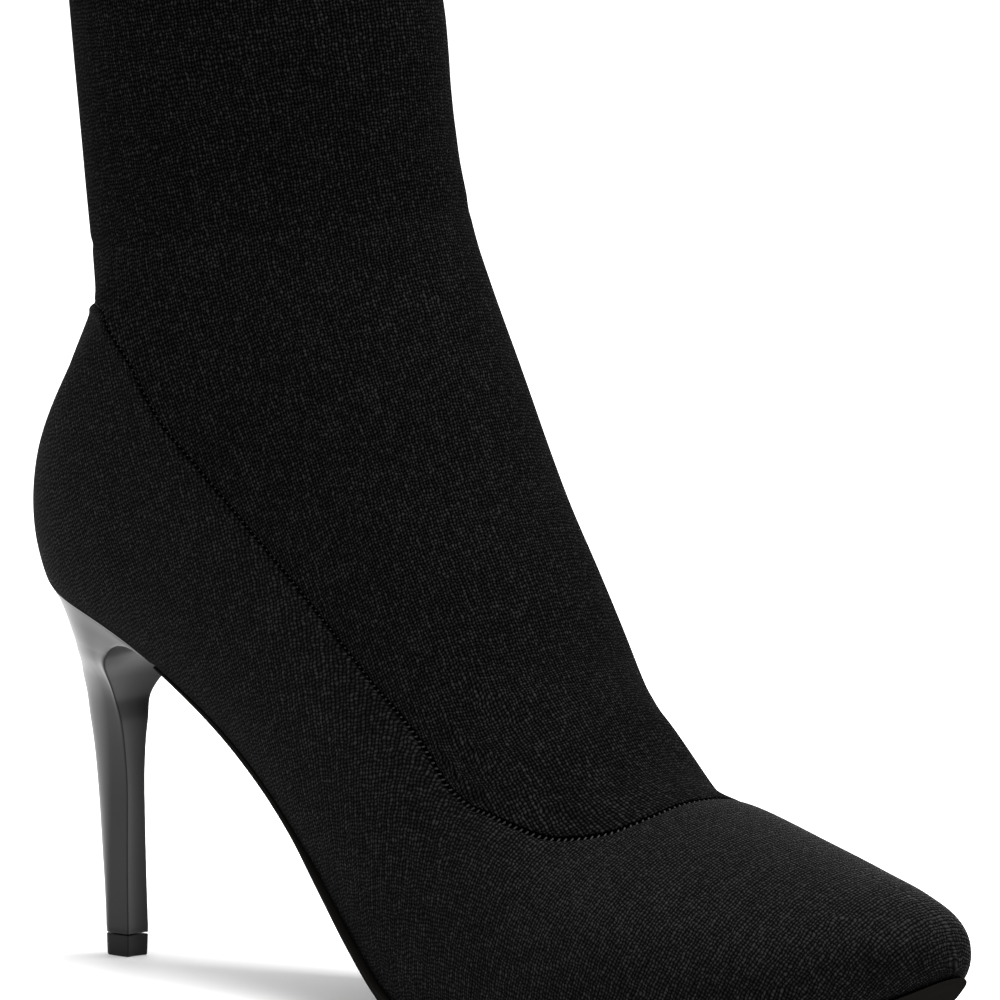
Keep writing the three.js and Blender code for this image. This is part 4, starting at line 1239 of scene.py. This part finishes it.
@dataclass
class StilettoHeel:
    """The lacquered heel, from the top lift to the seat."""

    form: BootForm
    stem_width: float = 5.6
    stem_depth: float = 7.8
    stem_front: float = 20.0
    breast: float = 47.0
    lift_height: float = 4.4
    seat_inset: float = 0.2
    hollow: float = 0.06
    back_power: float = 1.5
    levels: int = 150
    side_steps: int = 60
    front_steps: int = 28
    places: int = 160
    softenings: int = 2
    seat_shares: tuple[float, ...] = (0.97, 0.7, 0.4, 0.12)
    foot_size: float = 0.96
    foot_edge_size: float = 0.985
    foot_edge_lift: float = 0.05

    def rings(self, foot: np.ndarray) -> np.ndarray:
        """Rings of the heel from its foot to the seat.

        Each ring is a blend of the stem's D section and the seat's outline, by how far it has grown in
        width, at the front and at the back. It lies level on the stem and turns onto the seat's slope.

        Args:
            foot: the upper's foot row.

        Returns:
            Points as rings, places round, xyz, with the first place repeated at the end.
        """
        form = self.form
        table = np.arange(len(HEEL_RINGS), dtype=float)
        place = np.linspace(0.0, table[-1], self.levels)
        level, wide, front, back, follow = (
            Curve.through(table, HEEL_RINGS[:, k]).at(place)[:, None] for k in range(5)
        )
        bottom = self.lift_height + form.fit_gap
        top = float(form.sole_line(0.0)) - form.fit_gap
        share = np.linspace(0.0, 1.0, self.side_steps + 1)
        half = self.stem_width / 2.0
        straight = self.stem_depth - half
        way = share * (straight + np.pi / 2.0 * half)
        turn = np.maximum(way - straight, 0.0) / half
        stem_x = self.stem_front - np.minimum(way, straight) - half * np.sin(turn)
        sides = []
        for outline, side in zip(outline_sides(foot, np.full(len(foot), -self.seat_inset)), (OUTER, INNER)):
            start = [self.breast, np.interp(self.breast, outline[:, 0], outline[:, 1])]
            seat = np.concatenate([[start], outline[outline[:, 0] < self.breast][::-1]])
            way = line_length(seat)
            seat_x, seat_y = read_line(share * way[-1], way, seat).T
            x = mix(stem_x, seat_x, mix(front, back, share**self.back_power))
            y = mix(side * half * np.cos(turn), seat_y, wide)
            z = mix(mix(bottom, top, level), form.sole_line(x) - form.fit_gap, follow)
            sides.append(np.stack([x, y, z], axis=-1))
        near, far = sides
        share = np.linspace(0.0, 1.0, self.front_steps + 2)[1:-1][None, :, None]
        breast = mix(far[:, :1], near[:, :1], share)
        span = np.abs(far[:, :1, 1] - near[:, :1, 1])
        breast[..., 0] -= self.hollow * (1.0 - follow) * span * np.sin(np.pi * share[..., 0])
        return self.soften(np.concatenate([near, far[:, ::-1][:, 1:], breast, near[:, :1]], axis=1))

    def soften(self, rings: np.ndarray) -> np.ndarray:
        """Rounds the corners: each ring is re-spaced evenly, then averaged with its neighbours."""
        ways = [line_length(ring) for ring in rings]
        even = [read_line(np.linspace(0.0, way[-1], self.places + 1), way, ring)
                for way, ring in zip(ways, rings)]
        soft = np.stack(even)[:, :-1]
        for _ in range(self.softenings):
            soft = (np.roll(soft, 1, 1) + 2.0 * soft + np.roll(soft, -1, 1)) / 4.0
        return np.concatenate([soft, soft[:, :1]], axis=1)

    def build(self, foot: np.ndarray, lacquer: bpy.types.Material, lift: bpy.types.Material) -> None:
        """Builds the heel and the top lift under it.

        The heel closes over the seat by smaller copies of its last ring, and under its foot by one whose
        edge is bevelled. The lift's layers are copies of the foot's ring.

        Args:
            foot: the upper's foot row.
            lacquer: the heel's finish.
            lift: the top lift's finish.
        """
        form = self.form
        rings = self.rings(foot)
        centre = np.array([self.breast / 2.0, 0.0, 0.0])
        closing = []
        for share in self.seat_shares:
            inner = mix(centre, rings[-1], share)
            inner[:, 2] = form.sole_line(inner[:, 0]) - form.fit_gap
            closing.append(inner)
        first = rings[0].copy()
        middle = first.mean(0)

        def layer(height: float, size: float) -> np.ndarray:
            """The foot's ring at a height, drawn in towards its middle to a share of its size."""
            ring = mix(middle, first, size)
            ring[:, 2] = height
            return ring

        level = first[0, 2]
        rings[0] = layer(level + self.foot_edge_lift, self.foot_edge_size)
        ends = [[layer(level, self.foot_size)], rings, closing]
        heel = Skin("stiletto_heel", np.concatenate(ends)).build(form, False)
        dress(heel, lacquer, Slot.HEEL, "heel")
        layers = [layer(height, size * self.foot_edge_size) for height, size in LIFT_LAYERS]
        tip = Skin("top_lift", np.stack(layers)).build(form, False)
        dress(tip, lift, Slot.TIP, "heel_tip")


@dataclass
class Studio:
    """Pale floor, soft light and the camera at the photograph's angle."""

    form: BootForm
    azimuth: float = 45.0
    elevation: float = 7.7
    distance: float = 9000.0
    pixels_per_radian: float = 43920.0
    frame_pixels: float = 1000.0
    anchor: tuple[float, float, float] = (17.2, 0.0, 0.0)
    anchor_pixel: tuple[float, float] = (127.5, 954.5)
    sensor: float = 36.0
    clip: tuple[float, float] = (1.0, 100.0)
    aim: tuple[float, float, float] = (0.0, 0.0, 0.08)
    floor_reach: float = 6.0
    floor_white: float = 0.86
    world_light: float = 1.05

    def camera(self) -> None:
        """Places the camera so that the anchor point falls on its pixel.

        The target is the anchor less its offset in the picture plane: the pixel's distance from the
        middle times the distance over the focal length in pixels.
        """
        a, e = np.radians(self.azimuth), np.radians(self.elevation)
        back = np.array([np.sin(a) * np.cos(e), -np.cos(a) * np.cos(e), np.sin(e)])
        right = np.array([np.cos(a), np.sin(a), 0.0])
        up = np.cross(back, right)
        half = self.frame_pixels / 2.0
        per_pixel = self.distance / self.pixels_per_radian
        aside = (self.anchor_pixel[0] - half) * per_pixel
        above = (half - self.anchor_pixel[1]) * per_pixel
        target = np.array(self.anchor) - right * aside - up * above
        data = bpy.data.cameras.new("camera")
        data.sensor_width = self.sensor
        data.lens = self.pixels_per_radian / self.frame_pixels * self.sensor
        data.clip_start, data.clip_end = self.clip
        camera = link(bpy.data.objects.new("camera", data))
        camera.location = self.form.to_frame(target + back * self.distance)
        camera.rotation_mode = "QUATERNION"
        camera.rotation_quaternion = Vector(-back).to_track_quat("-Z", "Y")
        bpy.context.scene.camera = camera

    def light(self, name: str, at: tuple[float, float, float], size: float, power: float) -> None:
        """Adds a square soft box in metres that faces the boot."""
        data = bpy.data.lights.new(name, "AREA")
        data.shape, data.size, data.energy = "SQUARE", size, power
        lamp = link(bpy.data.objects.new(name, data))
        lamp.location = at
        lamp.rotation_mode = "QUATERNION"
        lamp.rotation_quaternion = (Vector(self.aim) - Vector(at)).to_track_quat("-Z", "Y")

    def build(self) -> None:
        """Builds floor, world, lights and camera."""
        corners = np.array([(-1, -1, 0), (1, -1, 0), (1, 1, 0), (-1, 1, 0)]) * self.floor_reach
        floor = mesh_object("floor", corners, [[0, 1, 2, 3]])
        n = Nodes("floor_white")
        n.set(Base_Color=(*(self.floor_white,) * 3, 1.0), Roughness=0.6, Specular_IOR_Level=0.2)
        floor.data.materials.append(n.material)
        world = bpy.data.worlds.new("studio")
        world.use_nodes = True
        colour, strength = world.node_tree.nodes["Background"].inputs[:2]
        colour.default_value, strength.default_value = (1.0, 1.0, 1.0, 1.0), self.world_light
        bpy.context.scene.world = world
        self.light("key", (0.4, 0.15, 2.3), 1.6, 130.0)
        self.light("fill", (1.9, -0.9, 0.9), 1.2, 4.0)
        bpy.context.scene.view_settings.view_transform = "Standard"
        self.camera()


def main() -> None:
    """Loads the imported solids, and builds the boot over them."""
    logging.basicConfig(level=logging.INFO, format="%(name)s %(message)s")
    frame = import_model()
    low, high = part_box("shaft")
    form = BootForm()
    collar_back = SECTIONS[-1, 0] * form.foot_length * METRES
    form.shift = Vector((low.x - collar_back, (low.y + high.y) / 2.0, 0.0))
    Studio(form).build()
    _, foot = KnitUpper(form).build(Knit("upper_knit", specular=0.014, seam_base=0.0, seam_reach=0.35))
    KnitShaft(form).build(Knit("shaft_knit", seam_base=0.3, seam_reach=0.25))
    thread = PlainFinish("thread", (0.003, 0.003, 0.0033), 0.7, 0.3)
    SeamStitches(form).build(thread.material())
    edge = PlainFinish("sole_edge", (0.004, 0.0037, 0.0034), 0.4, 0.0, wear=0.15)
    Outsole(form).build(foot, edge.material())
    lacquer = PlainFinish("lacquer", (0.003, 0.003, 0.0035), 0.3, 0.18, wear=0.04, grain_depth=0.000004)
    lift = PlainFinish("lift_rubber", (0.004, 0.004, 0.004), 0.5, 0.12)
    StilettoHeel(form).build(foot, lacquer.material(), lift.material())
    lining = PlainFinish("lining", (0.006, 0.006, 0.0065), 0.8, 0.25, grain_scale=700.0, grain_depth=0.00008)
    insole = frame["nodes"]["insole"]
    insole.data.materials.clear()
    insole.data.materials.append(lining.material())


if __name__ == "__main__":
    main()
